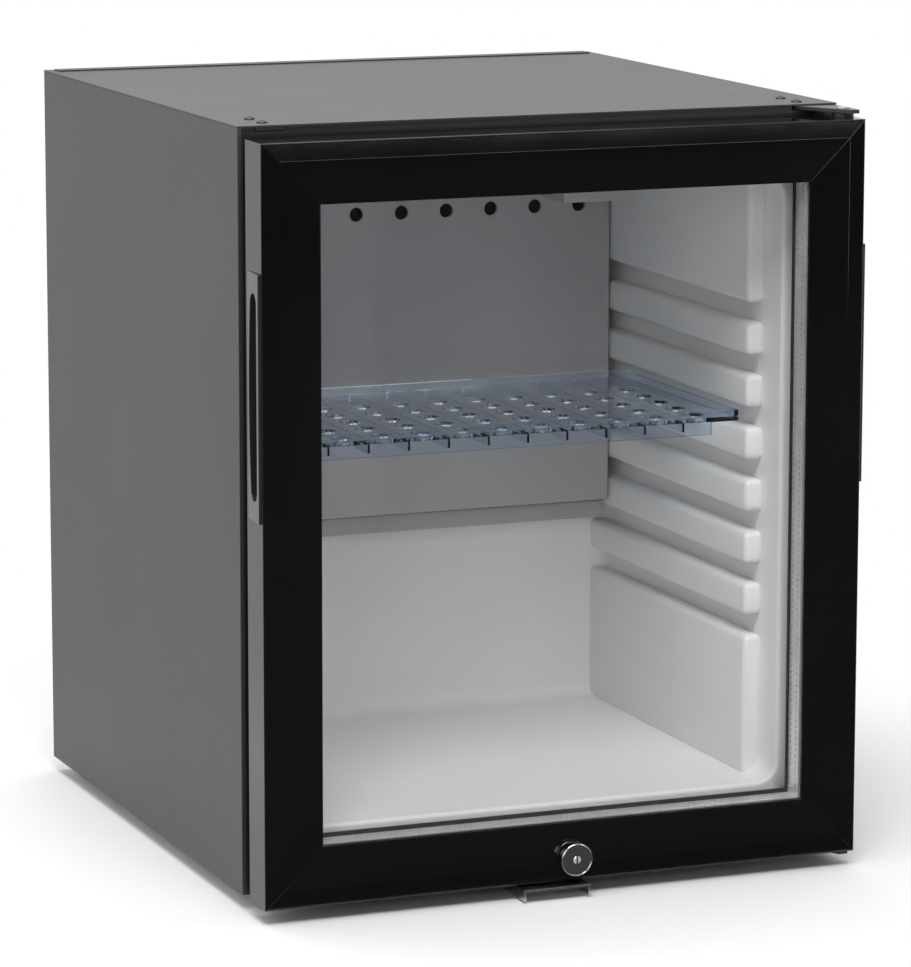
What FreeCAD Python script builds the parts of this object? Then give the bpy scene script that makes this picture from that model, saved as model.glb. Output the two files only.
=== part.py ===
import FreeCAD, Part
import os
import re
import Sketcher

# Glass door minibar with a silent absorption cooling unit, in millimetres.
# +Z is up, the front is -Y, and the origin is under the middle of the whole object.

SIZES = {
    # Clearances shared by all pieces, and how far a cut runs past what it cuts
    "overrun": 5,
    "running_gap": 0.3,
    "fit_gap": 0.05,
    # Cabinet shell of folded and painted steel sheet
    "cabinet_width": 420,
    "cabinet_height": 500,
    "cabinet_depth": 415,
    "panel_gauge": 1,
    "panel_return": 8,
    "front_return": 3,
    "hem_height": 1,
    "hem_width": 12,
    "hem_inset": 6,
    "base_gauge": 1,
    "base_margin": 2,
    "unit_bay": 85,
    # Feet
    "foot_height": 9,
    "foot_radius": 14,
    "foot_tip_radius": 11,
    "foot_flange": 3,
    "foot_inset": 50,
    "foot_setback": 44,
    # Front frame, liner and foam
    "front_frame_depth": 6,
    "side_wall": 38,
    "floor_wall": 42,
    "roof_wall": 48,
    "rear_wall": 39,
    "liner_wall": 3,
    "liner_flange": 8,
    "flange_gauge": 2.5,
    "rib_reach": 12,
    "rib_setback": 27,
    "rib_pitch": 35.6,
    "groove_height": 13.7,
    "first_groove_drop": 87,
    "lowest_rib_height": 60,
    # Door frame of hollow extruded profile, mitred at the corners
    "door_drop": 6.5,
    "door_thickness": 31,
    "seal_gap": 14,
    "frame_face": 40,
    "frame_wall": 2.5,
    "frame_hollow": 23.5,
    "frame_crease": 12,
    "crease_drop": 1.5,
    "sight_drop": 1.2,
    "edge_bevel": 2,
    "lip_thickness": 3.5,
    # Double glazing and its beads
    "pane_gauge": 4,
    "pane_gap": 17,
    "glass_clearance": 1,
    "edge_seal_width": 2.5,
    "spacer_width": 7.6,
    "bead_width": 9.5,
    # Magnetic gasket
    "gasket_inset": 9,
    "gasket_width": 18,
    "gasket_base": 2.5,
    "gasket_fold": 3,
    "gasket_head": 6.7,
    "magnet_width": 10,
    "magnet_gauge": 3.5,
    "magnet_cover": 1.2,
    # Finger grips let into both door sides
    "grip_drop": 82.5,
    "grip_length": 159,
    "grip_front": 3,
    "grip_rear_margin": 2,
    "grip_proud": 1.9,
    "grip_depth": 15,
    "slot_length": 133,
    "slot_width": 17.2,
    "slot_depth": 12,
    "slot_rear_margin": 5,
    "cup_margin": 1.2,
    # Hinges
    "hinge_inset": 8,
    "hinge_setback": 19,
    "hinge_plate": 2.5,
    "hinge_neck": 20,
    "hinge_neck_inset": 12,
    "hinge_tail": 50,
    "hinge_tip_width": 6,
    "hinge_tip_inset": 2,
    "hinge_tip_reach": 12,
    "hinge_shoulder": 4,
    "pin_radius": 3,
    "pin_reach": 12,
    "pin_head_radius": 4.5,
    "pin_head_height": 0.8,
    "bush_radius": 4.75,
    "bush_flange_radius": 7,
    "bush_length": 14,
    "lower_plate": 2,
    # Screws
    "screw_radius": 2,
    "screw_clearance": 0.15,
    "screw_head_radius": 3.6,
    "screw_head_height": 1.6,
    "screw_setback": 15.5,
    "screw_spacing": 24,
    "screw_end": 0.5,
    "screw_room": 1,
    # Cam lock and its strike under the door
    "lock_offset": 3.5,
    "lock_height": 16,
    "lock_proud": 8,
    "lock_head_radius": 11,
    "lock_edge": 1,
    "lock_barrel_radius": 8.5,
    "lock_barrel_length": 16,
    "plug_radius": 5.5,
    "plug_stub_radius": 3,
    "key_slot_width": 1.4,
    "key_slot_length": 6,
    "key_slot_depth": 6,
    "nut_radius": 11.2,
    "nut_gauge": 3,
    "cam_gap": 0.5,
    "cam_gauge": 2,
    "cam_length": 22,
    "cam_width": 9,
    "cam_hub_radius": 6.5,
    "cam_screw_radius": 4.5,
    "cam_screw_height": 2,
    "cam_slot_room": 1.2,
    "strike_width": 47,
    "strike_offset": -10.5,
    "strike_gauge": 1.5,
    "strike_flange": 6,
    "strike_tail": 25,
    "strike_screw_spacing": 28,
    "strike_screw_setback": 14,
    # Evaporator, its cover, the gutter and the drain
    "cover_depth": 35,
    "cover_height": 251,
    "cover_top_gap": 8,
    "cover_side_gap": 1.5,
    "cover_wall": 2.5,
    "cover_hole_radius": 5,
    "cover_hole_pitch": 33.7,
    "cover_hole_drop": 37,
    "evaporator_width": 200,
    "evaporator_height": 150,
    "evaporator_drop": 67,
    "evaporator_plate": 6,
    "fin_depth": 18,
    "fin_gauge": 2,
    "gutter_depth": 22,
    "gutter_height": 12,
    "gutter_wall": 1.5,
    "gutter_drop": 3,
    "drain_radius": 5,
    "drain_bore": 3,
    "drain_outlet": 12,
    # Interior lamp
    "lamp_offset": 56,
    "lamp_width": 54,
    "lamp_depth": 40,
    "lamp_setback": 35,
    "lamp_base_height": 4,
    "lamp_cover_height": 11,
    "lamp_cover_wall": 1.5,
    "led_margin": 5,
    "led_gauge": 1.6,
    # Shelf
    "shelf_setback": 57,
    "shelf_rear_gap": 10,
    "shelf_side_gap": 4,
    "shelf_plate": 3,
    "shelf_rim_height": 7.5,
    "shelf_rim_gauge": 2.5,
    "shelf_lip_depth": 8.5,
    "shelf_lip_margin": 20,
    "shelf_rib_pitch": 28.4,
    "shelf_rib_gauge": 1.5,
    "shelf_rib_depth": 6,
    "shelf_hole_radius": 7,
    "shelf_hole_setback": 17,
    # Absorption cooling unit in the bay behind the rear panel
    "unit_setback": 42,
    "tube_radius": 8,
    "tube_bend": 16,
    "boiler_inset": 60,
    "jacket_radius": 32,
    "jacket_foot_height": 125,
    "jacket_neck_length": 25,
    "boiler_radius": 11,
    "boiler_foot_height": 95,
    "boiler_rise": 55,
    "heater_radius": 6,
    "heater_offset": 20,
    "heater_foot_height": 108,
    "heater_length": 120,
    "condenser_drop": 44,
    "condenser_bend": 24,
    "condenser_fin_size": 52,
    "condenser_fin_gauge": 0.8,
    "condenser_fin_pitch": 11,
    "condenser_fin_inset": 42,
    "exchanger_inset": 55,
    "exchanger_radius": 16,
    "exchanger_drop": 75,
    "exchanger_length": 110,
    "evaporator_tube_radius": 9,
    "evaporator_tube_inset": 4,
    "vessel_radius": 26,
    "vessel_height": 62,
    "vessel_outlet_length": 35,
    "liquid_run_length": 80,
    "coil_boiler_gap": 23,
    "coil_control_gap": 20,
    "coil_foot_height": 112,
    "coil_neck_length": 20,
    "coil_pitch": 40,
    "liquid_radius": 6,
    "liquid_bend": 20,
    "clamp_width": 30,
    "clamp_height": 20,
    "clamp_gap": 0.2,
    # Control box and the mains inlet
    "control_width": 58,
    "control_height": 85,
    "control_depth": 50,
    "control_inset": 7,
    "control_foot_height": 10,
    "inlet_radius": 9,
    "inlet_length": 8,
    "inlet_bore": 4,
}

GROOVES_ABOVE_SHELF = 2
EVAPORATOR_FINS = 12

# Places that several pieces share, worked out from the sizes above
PLACES = {
    "overall_depth": "lock_proud + door_thickness + seal_gap + cabinet_depth",
    "door_front": "lock_proud - overall_depth / 2",
    "door_rear": "door_front + door_thickness",
    "cabinet_front": "door_rear + seal_gap",
    "cabinet_rear": "cabinet_front + cabinet_depth",
    "cabinet_bottom": "foot_height + base_gauge",
    "cabinet_top": "cabinet_bottom + cabinet_height",
    "half_width": "cabinet_width / 2",
    "inner_half": "half_width - panel_gauge",
    "bay_front": "cabinet_rear - unit_bay",
    "foam_rear": "bay_front - panel_gauge",
    "foam_front": "cabinet_front + front_frame_depth",
    "shell_top": "cabinet_top - panel_gauge",
    "cavity_half": "half_width - side_wall",
    "cavity_bottom": "cabinet_bottom + floor_wall",
    "cavity_top": "cabinet_top - roof_wall",
    "cavity_rear": "foam_rear - rear_wall",
    "rib_half": "cavity_half - rib_reach",
    "rib_front": "cabinet_front + rib_setback",
    "flange_half": "cavity_half + liner_flange",
    "half_door": "half_width",
    "door_bottom": "cabinet_bottom",
    "door_top": "cabinet_top - door_drop",
    "rebate": "2 * frame_wall + frame_hollow",
    "glass_inset": "rebate + glass_clearance",
    "glass_front": "door_front + lip_thickness",
    "glass_rear": "glass_front + 2 * pane_gauge + pane_gap",
    "gap_front": "glass_front + pane_gauge",
    "gap_rear": "gap_front + pane_gap",
    "hinge_x": "half_door - hinge_inset",
    "hinge_y": "door_front + hinge_setback",
    "hinge_top": "shell_top",
    "hinge_under": "shell_top - hinge_plate",
    "base_under": "cabinet_bottom - base_gauge",
    "lower_under": "base_under - lower_plate",
    "screw_x": "half_width - hinge_neck_inset - hinge_neck / 2",
    "screw_y": "cabinet_front + screw_setback",
    "lock_z": "door_bottom + lock_height",
    "cam_front": "door_front + lock_barrel_length + cam_gap",
    "cam_rear": "cam_front + cam_gauge",
    "grip_head": "door_top - grip_drop",
    "grip_foot": "grip_head - grip_length",
    "grip_rear": "door_rear - grip_rear_margin",
    "cover_front": "cavity_rear - cover_depth",
    "cover_half": "rib_half - cover_side_gap",
    "cover_head": "cavity_top - cover_top_gap",
    "cover_foot": "cover_head - cover_height",
    "evaporator_foot": "cavity_top - evaporator_drop - evaporator_height",
    "gutter_top": "cover_foot - gutter_drop",
    "gutter_foot": "gutter_top - gutter_height",
    "drain_z": "gutter_foot + gutter_wall + drain_bore",
    "lamp_front": "cabinet_front + lamp_setback",
    "lamp_base_foot": "cavity_top - lamp_base_height",
    "lamp_foot": "lamp_base_foot - lamp_cover_height",
    "shelf_half": "cavity_half - shelf_side_gap",
    "shelf_front": "cabinet_front + shelf_setback",
    "shelf_rear": "cover_front - shelf_rear_gap",
    "first_groove_top": "cavity_top - first_groove_drop",
    "shelf_foot": f"first_groove_top - {GROOVES_ABOVE_SHELF} * rib_pitch - groove_height + running_gap",
    "shelf_lip_half": "shelf_half - shelf_lip_margin",
    "unit_y": "bay_front + unit_setback",
    "control_right": "half_width - control_inset",
    "control_foot": "cabinet_bottom + control_foot_height",
    "boiler_offset": "half_width - boiler_inset",
    "condenser_z": "shell_top - condenser_drop",
    "boiler_foot": "cabinet_bottom + boiler_foot_height",
    "boiler_top": "condenser_z - boiler_rise",
    "jacket_foot": "cabinet_bottom + jacket_foot_height",
    "jacket_top": "boiler_top - jacket_neck_length",
    "coil_left": "boiler_offset - jacket_radius - coil_boiler_gap",
    "coil_right": "control_right - control_width - coil_control_gap",
    "exchanger_offset": "coil_right - exchanger_inset",
    "exchanger_top": "condenser_z - exchanger_drop",
    "exchanger_foot": "exchanger_top - exchanger_length",
    "evaporator_tube_z": "evaporator_foot + evaporator_height / 2",
    "vessel_z": "cabinet_bottom + vessel_height",
    "vessel_left": "boiler_offset - liquid_run_length",
    "vessel_right": "coil_right - vessel_outlet_length",
    "coil_foot": "cabinet_bottom + coil_foot_height",
}

OWNER = {name: "Sizes." for name in SIZES} | {name: "Places." for name in PLACES}


def ref(text, home=None):
    """Point every size and place named in a formula at the sheet that holds it."""
    def point(match):
        owner = OWNER.get(match.group(), "")
        return match.group() if owner == home else owner + match.group()
    return re.sub(r"[A-Za-z_]\w*", point, text)


def fill_sheet(name, rows):
    sheet = doc.addObject("Spreadsheet::Sheet", name)
    for row, (alias, content) in enumerate(rows.items(), 1):
        sheet.set(f"A{row}", alias)
        sheet.set(f"B{row}", content)
        sheet.setAlias(f"B{row}", alias)
    doc.recompute()
    return sheet


doc = FreeCAD.newDocument("minibar")
sizes = fill_sheet("Sizes", {alias: str(value) for alias, value in SIZES.items()})
places = fill_sheet("Places", {alias: "=" + ref(text, "Places.") for alias, text in PLACES.items()})
pieces = []


def number(text):
    """The present value of a formula, for the first drawing of an outline."""
    return float(sizes.evalExpression(ref(text)))


def count(space, pitch):
    """How many whole steps of a pitch a space holds."""
    return int(number(f"({space}) / ({pitch})"))


def bind(item, prop, text):
    item.setExpression(prop, ref(text))


def new_body(label):
    body = doc.addObject("PartDesign::Body", label)
    body.Label = label
    return body


def keep(item, label):
    """Count an object as a piece of the part, under its own name."""
    item.Label = label
    pieces.append(item)
    return item


def rectangle(left, right, low, high):
    return [(left, low), (right, low), (right, high), (left, high)]


def circle(across, up, radius):
    return ("circle", across, up, radius)


def draw(sketch, outline):
    """Add one closed outline, each corner held by formulas."""
    first = sketch.GeometryCount
    held = []
    if outline[0] == "circle":
        across, up, radius = outline[1:]
        centre = FreeCAD.Vector(number(across), number(up), 0)
        sketch.addGeometry(Part.Circle(centre, FreeCAD.Vector(0, 0, 1), number(radius)))
        held.append((Sketcher.Constraint("Radius", first, number(radius)), radius))
        corners = [(first, 3, across, up)]
    else:
        points = [FreeCAD.Vector(number(across), number(up), 0) for across, up in outline]
        lines = [Part.LineSegment(start, end) for start, end in zip(points, points[1:] + points[:1])]
        sketch.addGeometry(lines)
        last = first + len(lines) - 1
        for line in range(first, last + 1):
            follower = first if line == last else line + 1
            held.append((Sketcher.Constraint("Coincident", line, 2, follower, 1), None))
        corners = [(first + index, 1, across, up) for index, (across, up) in enumerate(outline)]
    for shape, vertex, across, up in corners:
        for kind, text in (("DistanceX", across), ("DistanceY", up)):
            held.append((Sketcher.Constraint(kind, -1, 1, shape, vertex, number(text)), text))
    start = sketch.ConstraintCount
    sketch.addConstraint([constraint for constraint, text in held])
    for index, (constraint, text) in enumerate(held):
        if text is not None:
            bind(sketch, f"Constraints[{start + index}]", text)


def add_sketch(body, plane, level, outlines):
    sketch = body.newObject("Sketcher::SketchObject", "outline")
    support = next(item for item in body.Origin.OriginFeatures if item.Role == plane + "_Plane")
    sketch.AttachmentSupport = (support, [""])
    sketch.MapMode = "FlatFace"
    bind(sketch, "AttachmentOffset.Base.z", level)
    for outline in outlines:
        draw(sketch, outline)
    return sketch


def prism(body, kind, plane, outlines, low, high):
    """Pad or pocket outlines from low to high along the axis square to their plane."""
    level = f"-({high})" if plane == "XZ" else low
    sketch = add_sketch(body, plane, level, outlines)
    feature = body.newObject("PartDesign::" + kind, kind.lower())
    feature.Profile = (sketch, [""])
    feature.Reversed = kind == "Pocket"
    bind(feature, "Length", f"({high}) - ({low})")
    return feature


def pad(body, plane, outlines, low, high):
    return prism(body, "Pad", plane, outlines, low, high)


def pocket(body, plane, outlines, low, high):
    return prism(body, "Pocket", plane, outlines, low, high)


def put(item, spot, rotation=FreeCAD.Rotation()):
    item.Placement = FreeCAD.Placement(FreeCAD.Vector(0, 0, 0), rotation)
    for axis, text in zip("xyz", spot):
        bind(item, "Placement.Base." + axis, text)


UPWARD = FreeCAD.Rotation()
REARWARD = FreeCAD.Rotation(FreeCAD.Vector(1, 0, 0), -90)
RIGHTWARD = FreeCAD.Rotation(FreeCAD.Vector(0, 1, 0), 90)


def turned(label, outline, spot, rotation=UPWARD):
    """A round piece: an outline of radius and height, revolved and set at its spot."""
    body = new_body(label)
    sketch = add_sketch(body, "XZ", "0", [outline])
    feature = body.newObject("PartDesign::Revolution", "revolution")
    feature.Profile = (sketch, [""])
    feature.ReferenceAxis = (sketch, ["V_Axis"])
    feature.Angle = 360
    put(body, spot, rotation)
    return body


def group(label, members):
    compound = doc.addObject("Part::Compound", label)
    compound.Links = members
    return keep(compound, label)


# Folded side panels with returns at the front, the rear and the bottom

def side_panel(label, sign):
    def across(text):
        return f"{sign} * ({text})"
    body = new_body(label)
    fold = "half_width - panel_return"
    front_fold = "half_width - front_return"
    channel = [
        (across(front_fold), "cabinet_front"), (across("half_width"), "cabinet_front"),
        (across("half_width"), "cabinet_rear"), (across(fold), "cabinet_rear"),
        (across(fold), "cabinet_rear - panel_gauge"), (across("inner_half"), "cabinet_rear - panel_gauge"),
        (across("inner_half"), "cabinet_front + panel_gauge"),
        (across(front_fold), "cabinet_front + panel_gauge"),
    ]
    pad(body, "XY", [channel], "cabinet_bottom", "shell_top")
    foot = rectangle(across(fold), across("half_width"), "foam_front", "cabinet_rear")
    pad(body, "XY", [foot], "cabinet_bottom", "cabinet_bottom + panel_gauge")
    keep(body, label)


side_panel("left_side_panel", -1)
side_panel("right_side_panel", 1)

# Top panel with a raised hem along its rear edge and holes for the hinge screws
SCREW_ROWS = ["screw_y", "screw_y + screw_spacing"]
SCREW_SPOTS = [(f"{sign} * screw_x", row) for sign in (-1, 1) for row in SCREW_ROWS]
top_panel = new_body("top_panel")
sheet_outline = rectangle("-half_width", "half_width", "cabinet_front", "cabinet_rear")
screw_holes = [circle(x, y, "screw_radius + screw_clearance") for x, y in SCREW_SPOTS]
pad(top_panel, "XY", [sheet_outline] + screw_holes, "shell_top", "cabinet_top")
hem_rear = "cabinet_rear - hem_inset"
hem = rectangle("-half_width + hem_inset", "half_width - hem_inset", hem_rear + " - hem_width", hem_rear)
pad(top_panel, "XY", [hem], "cabinet_top", "cabinet_top + hem_height")
keep(top_panel, "top_panel")

# Base pan under the cabinet, with holes for the strike and hinge screws
STRIKE_SPOTS = [(f"strike_offset + {sign} * strike_screw_spacing / 2", "cabinet_front + strike_screw_setback")
                for sign in (-1, 1)]
LOWER_SPOTS = [("screw_x", row) for row in SCREW_ROWS]
base_pan = new_body("base_pan")
pan_outline = rectangle("-half_width + base_margin", "half_width - base_margin",
                        "cabinet_front + base_margin", "cabinet_rear - base_margin")
pan_holes = [circle(x, y, "screw_radius + screw_clearance") for x, y in STRIKE_SPOTS + LOWER_SPOTS]
pad(base_pan, "XY", [pan_outline] + pan_holes, "base_under", "cabinet_bottom")
keep(base_pan, "base_pan")

# Rear panel that closes the foam, with the evaporator tube and the drain passing through
TUBE_HOLE = circle("exchanger_offset", "evaporator_tube_z", "evaporator_tube_radius + running_gap")
DRAIN_HOLE = circle("0", "drain_z", "drain_radius + running_gap")
rear_panel = new_body("rear_panel")
back_outline = rectangle("-inner_half", "inner_half", "cabinet_bottom + panel_gauge", "shell_top")
pad(rear_panel, "XZ", [back_outline, TUBE_HOLE, DRAIN_HOLE], "foam_rear", "bay_front")
keep(rear_panel, "rear_panel")

# Black front frame that the gasket seals on, with a slot at each upper corner for a hinge
neck_inner = "half_width - hinge_neck_inset - hinge_neck"
neck_outer = "half_width - hinge_neck_inset"
front_frame = new_body("front_frame")
frame_half = "half_width - front_return"
frame_outline = rectangle("-" + "(" + frame_half + ")", frame_half, "cabinet_bottom", "shell_top")
mouth = rectangle("-flange_half", "flange_half", "cavity_bottom - liner_flange", "cavity_top + liner_flange")
pad(front_frame, "XZ", [frame_outline, mouth], "cabinet_front", "foam_front")
for sign in (-1, 1):
    slot = rectangle(f"{sign} * ({neck_inner} - running_gap)", f"{sign} * ({neck_outer} + running_gap)",
                     "hinge_under - running_gap", "shell_top + overrun")
    pocket(front_frame, "XZ", [slot], "cabinet_front - overrun", "foam_front + overrun")
keep(front_frame, "front_frame")

# Inner liner: a tub with a flange round its mouth and ribs that make the shelf grooves
liner = new_body("inner_liner")
tub_half = "cavity_half + liner_wall"
tub = rectangle("-cavity_half - liner_wall", tub_half, "cavity_bottom - liner_wall",
                "cavity_top + liner_wall")
pad(liner, "XZ", [tub], "cabinet_front", "cavity_rear + liner_wall")
pad(liner, "XZ", [mouth], "cabinet_front", "cabinet_front + flange_gauge")
opening = rectangle("-cavity_half", "cavity_half", "cavity_bottom", "cavity_top")
pocket(liner, "XZ", [opening], "cabinet_front - overrun", "rib_front")
groove_steps = []
for groove in range(count("first_groove_top - cavity_bottom - lowest_rib_height", "rib_pitch")):
    top = f"first_groove_top - {groove} * rib_pitch"
    low = top + " - groove_height"
    groove_steps += [("rib_half", top), ("cavity_half", top), ("cavity_half", low), ("rib_half", low)]
right_side = [("rib_half", "cavity_top")] + groove_steps + [("rib_half", "cavity_bottom")]
left_side = [("-" + across, up) for across, up in reversed(right_side)]
pocket(liner, "XZ", [right_side + left_side], "rib_front", "cavity_rear")
pocket(liner, "XZ", [TUBE_HOLE, DRAIN_HOLE], "cavity_rear - overrun", "cavity_rear + liner_wall + overrun")
keep(liner, "inner_liner")

# Insulation foam that fills the space between the shell and the liner
foam = new_body("insulation_foam")
block = rectangle("-inner_half", "inner_half", "cabinet_bottom + panel_gauge", "shell_top")
pad(foam, "XZ", [block], "foam_front", "foam_rear")
pocket(foam, "XZ", [tub], "foam_front - overrun", "cavity_rear + liner_wall")
pocket(foam, "XZ", [TUBE_HOLE, DRAIN_HOLE], "cavity_rear", "foam_rear + overrun")
for sign in (-1, 1):
    notch = rectangle(f"{sign} * ({neck_inner} - screw_room)", f"{sign} * ({neck_outer} + screw_room)",
                      "hinge_under - screw_room", "shell_top + overrun")
    pocket(foam, "XZ", [notch], "foam_front - overrun", "cabinet_front + hinge_tail + screw_room")
keep(foam, "insulation_foam")

# Four round feet under the base pan
foot_outline = [("0", "0"), ("foot_tip_radius", "0"), ("foot_radius", "foot_height - foot_flange"),
                ("foot_radius", "foot_height"), ("0", "foot_height")]
for side, sign in (("left", -1), ("right", 1)):
    for end, foot_y in (("front", "cabinet_front + foot_setback"), ("rear", "cabinet_rear - foot_setback")):
        label = f"foot_{end}_{side}"
        keep(turned(label, foot_outline, (f"{sign} * (half_width - foot_inset)", foot_y, "0")), label)


# Hinge plates: a neck fixed to the cabinet and a tapered tongue that carries the pin

def hinge_tongue():
    """Outline seen from above, from the neck at the cabinet front to the tip over the pin."""
    tip_outer = "half_door - hinge_tip_inset"
    tip_front = "hinge_y - hinge_tip_reach"
    return [
        (neck_inner, "cabinet_front + hinge_tail"), (neck_inner, "cabinet_front + hinge_shoulder"),
        (neck_inner + " + hinge_shoulder", "cabinet_front - hinge_shoulder"),
        (tip_outer + " - hinge_tip_width", tip_front), (tip_outer, tip_front),
        (tip_outer, "cabinet_front - hinge_shoulder"), (neck_outer, "cabinet_front - running_gap"),
        (neck_outer, "cabinet_front + hinge_tail"),
    ]


def plate_with_holes(label, outline, holes, low, high):
    body = new_body(label)
    pad(body, "XY", [outline] + holes, low, high)
    return keep(body, label)


PIN_HOLE = circle("hinge_x", "hinge_y", "pin_radius + fit_gap")
right_holes = [circle(x, y, "screw_radius + screw_clearance") for x, y in LOWER_SPOTS]
left_holes = [circle("-screw_x", y, "screw_radius + screw_clearance") for y in SCREW_ROWS]
plate_with_holes("top_hinge_bracket", hinge_tongue(), right_holes + [PIN_HOLE], "hinge_under", "hinge_top")
plate_with_holes("bottom_hinge_bracket", hinge_tongue(), right_holes + [PIN_HOLE], "lower_under",
                 "base_under")
blank = rectangle("-(" + neck_outer + ")", "-(" + neck_inner + ")", "cabinet_front",
                  "cabinet_front + hinge_tail")
plate_with_holes("blanking_plate", blank, left_holes, "hinge_under", "hinge_top")

# Hinge pins, riveted in the plates, and the flanged bushes that turn on them in the door
pin_outline = [("0", "0"), ("pin_head_radius", "0"), ("pin_head_radius", "pin_head_height"),
               ("pin_radius", "pin_head_height")]
upper_pin = "pin_head_height + hinge_top - door_top + pin_reach"
lower_pin = "pin_head_height + door_bottom - lower_under + pin_reach"
UPSIDE_DOWN = FreeCAD.Rotation(FreeCAD.Vector(1, 0, 0), 180)
pins = []
for label, length, foot, rotation in (
        ("top_pin", upper_pin, "hinge_top + pin_head_height", UPSIDE_DOWN),
        ("bottom_pin", lower_pin, "lower_under - pin_head_height", UPWARD)):
    outline = pin_outline + [("pin_radius", length), ("0", length)]
    pins.append(turned(label, outline, ("hinge_x", "hinge_y", foot), rotation))
group("hinge_pins", pins)

bushes = []
for label, flange, face, rotation in (
        ("top_bush", "hinge_under - door_top - running_gap", "door_top", UPWARD),
        ("bottom_bush", "door_bottom - base_under - running_gap", "door_bottom", UPSIDE_DOWN)):
    bush = [("pin_radius + fit_gap", "-bush_length"), ("bush_radius", "-bush_length"), ("bush_radius", "0"),
            ("bush_flange_radius", "0"), ("bush_flange_radius", flange), ("pin_radius + fit_gap", flange)]
    bushes.append(turned(label, bush, ("hinge_x", "hinge_y", face), rotation))
group("hinge_bushes", bushes)


# Cross-head screws, drawn with the seat of the head at height zero and the shank downwards

def screw(label, length, spot, rotation):
    outline = [("0", "-(" + length + ")"), ("screw_radius", "-(" + length + ")"), ("screw_radius", "0"),
               ("screw_head_radius", "0"), ("screw_head_radius", "screw_head_height / 2"),
               ("screw_head_radius / 2", "screw_head_height"), ("0", "screw_head_height")]
    return turned(label, outline, spot, rotation)


upper_grip = "cabinet_top - hinge_under + screw_end"
group("top_hinge_screws", [screw("top_hinge_screw", upper_grip, (x, y, "cabinet_top"), UPWARD)
                           for x, y in SCREW_SPOTS])
lower_grip = "cabinet_bottom - lower_under + screw_end"
group("bottom_hinge_screws", [screw("bottom_hinge_screw", lower_grip, (x, y, "lower_under"), UPSIDE_DOWN)
                              for x, y in LOWER_SPOTS])
strike_under = "base_under - strike_gauge"
strike_grip = "cabinet_bottom - (" + strike_under + ") + screw_end"
group("strike_screws", [screw("strike_screw", strike_grip, (x, y, strike_under), UPSIDE_DOWN)
                        for x, y in STRIKE_SPOTS])

# Strike: a plate under the door edge, folded down at both sides, with a slot for the lock cam
strike = new_body("strike_bracket")
strike_left = "strike_offset - strike_width / 2"
strike_right = "strike_offset + strike_width / 2"
strike_drop = "base_under - strike_gauge - strike_flange"
channel = [(strike_left, "base_under"), (strike_left, strike_drop),
           (strike_left + " + strike_gauge", strike_drop),
           (strike_left + " + strike_gauge", strike_under), (strike_right + " - strike_gauge", strike_under),
           (strike_right + " - strike_gauge", strike_drop), (strike_right, strike_drop),
           (strike_right, "base_under")]
pad(strike, "XZ", [channel], "door_front - lock_proud", "cabinet_front + strike_tail")
strike_holes = [circle(x, y, "screw_radius + screw_clearance") for x, y in STRIKE_SPOTS]
pocket(strike, "XY", strike_holes, strike_under + " - overrun", "base_under + overrun")
cam_reach = "sqrt(pow(cam_length; 2) + pow(cam_width / 2; 2))"


def cam_slot(level):
    """Room for the cam as it swings down past a level, seen from above."""
    swing = f"sqrt(pow({cam_reach}; 2) - pow(lock_z - ({level}); 2))"
    return rectangle(f"lock_offset - {swing} - cam_slot_room", "lock_offset + cam_width / 2 + cam_slot_room",
                     "cam_front - cam_slot_room", "cam_rear + cam_slot_room")


pocket(strike, "XY", [cam_slot("base_under")], strike_under + " - overrun", "base_under + overrun")
keep(strike, "strike_bracket")

# Door frame members and the pieces that follow them round the door

EDGES = {
    "top": (lambda inset: f"door_top - ({inset})", "left", "right"),
    "bottom": (lambda inset: f"door_bottom + ({inset})", "left", "right"),
    "left": (lambda inset: f"-half_door + ({inset})", "bottom", "top"),
    "right": (lambda inset: f"half_door - ({inset})", "bottom", "top"),
}


def mitred(label, edge, outlines, reach):
    """One straight length along a door edge, its outlines in inset and depth, cut at 45 degrees."""
    inward, low_end, high_end = EDGES[edge]
    flat = edge in ("top", "bottom")
    body = new_body(label)
    if flat:
        shapes = [[(depth, inward(inset)) for inset, depth in outline] for outline in outlines]
    else:
        shapes = [[(inward(inset), depth) for inset, depth in outline] for outline in outlines]
    pad(body, "YZ" if flat else "XY", shapes, EDGES[low_end][0]("0"), EDGES[high_end][0]("0"))
    far = reach + " + overrun"
    for end in (low_end, high_end):
        beside = EDGES[end][0]
        corner = [("-overrun", "-overrun"), ("-overrun", far), (far, far)]
        if flat:
            wedge = [(beside(near), inward(inset)) for near, inset in corner]
        else:
            wedge = [(inward(inset), beside(near)) for near, inset in corner]
        pocket(body, "XZ", [wedge], "door_front - overrun", "cabinet_front + overrun")
    return body


profile = [
    ("0", "door_front + crease_drop + edge_bevel"), ("edge_bevel", "door_front + crease_drop"),
    ("frame_crease", "door_front"), ("frame_face", "door_front + sight_drop"),
    ("frame_face", "glass_front"), ("rebate", "glass_front"), ("rebate", "door_rear"), ("0", "door_rear"),
]
chamber = rectangle("frame_wall", "frame_wall + frame_hollow",
                    "door_front + frame_wall + crease_drop", "door_rear - frame_wall")
members = {}
for edge, label in (("top", "door_rail_top"), ("bottom", "door_rail_bottom"),
                    ("left", "door_stile_left"), ("right", "door_stile_right")):
    members[edge] = mitred(label, edge, [profile, chamber], "frame_face")
    keep(members[edge], label)
bush_hole = [circle("hinge_x", "hinge_y", "bush_radius + fit_gap")]
pocket(members["top"], "XY", bush_hole, "door_top - frame_wall - fit_gap", "door_top + overrun")
pocket(members["bottom"], "XY", bush_hole, "door_bottom - overrun", "door_bottom + frame_wall + fit_gap")
barrel_hole = [circle("lock_offset", "lock_z", "lock_barrel_radius + fit_gap")]
pocket(members["bottom"], "XZ", barrel_hole, "door_front - overrun",
       "door_front + frame_wall + crease_drop + fit_gap")
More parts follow.
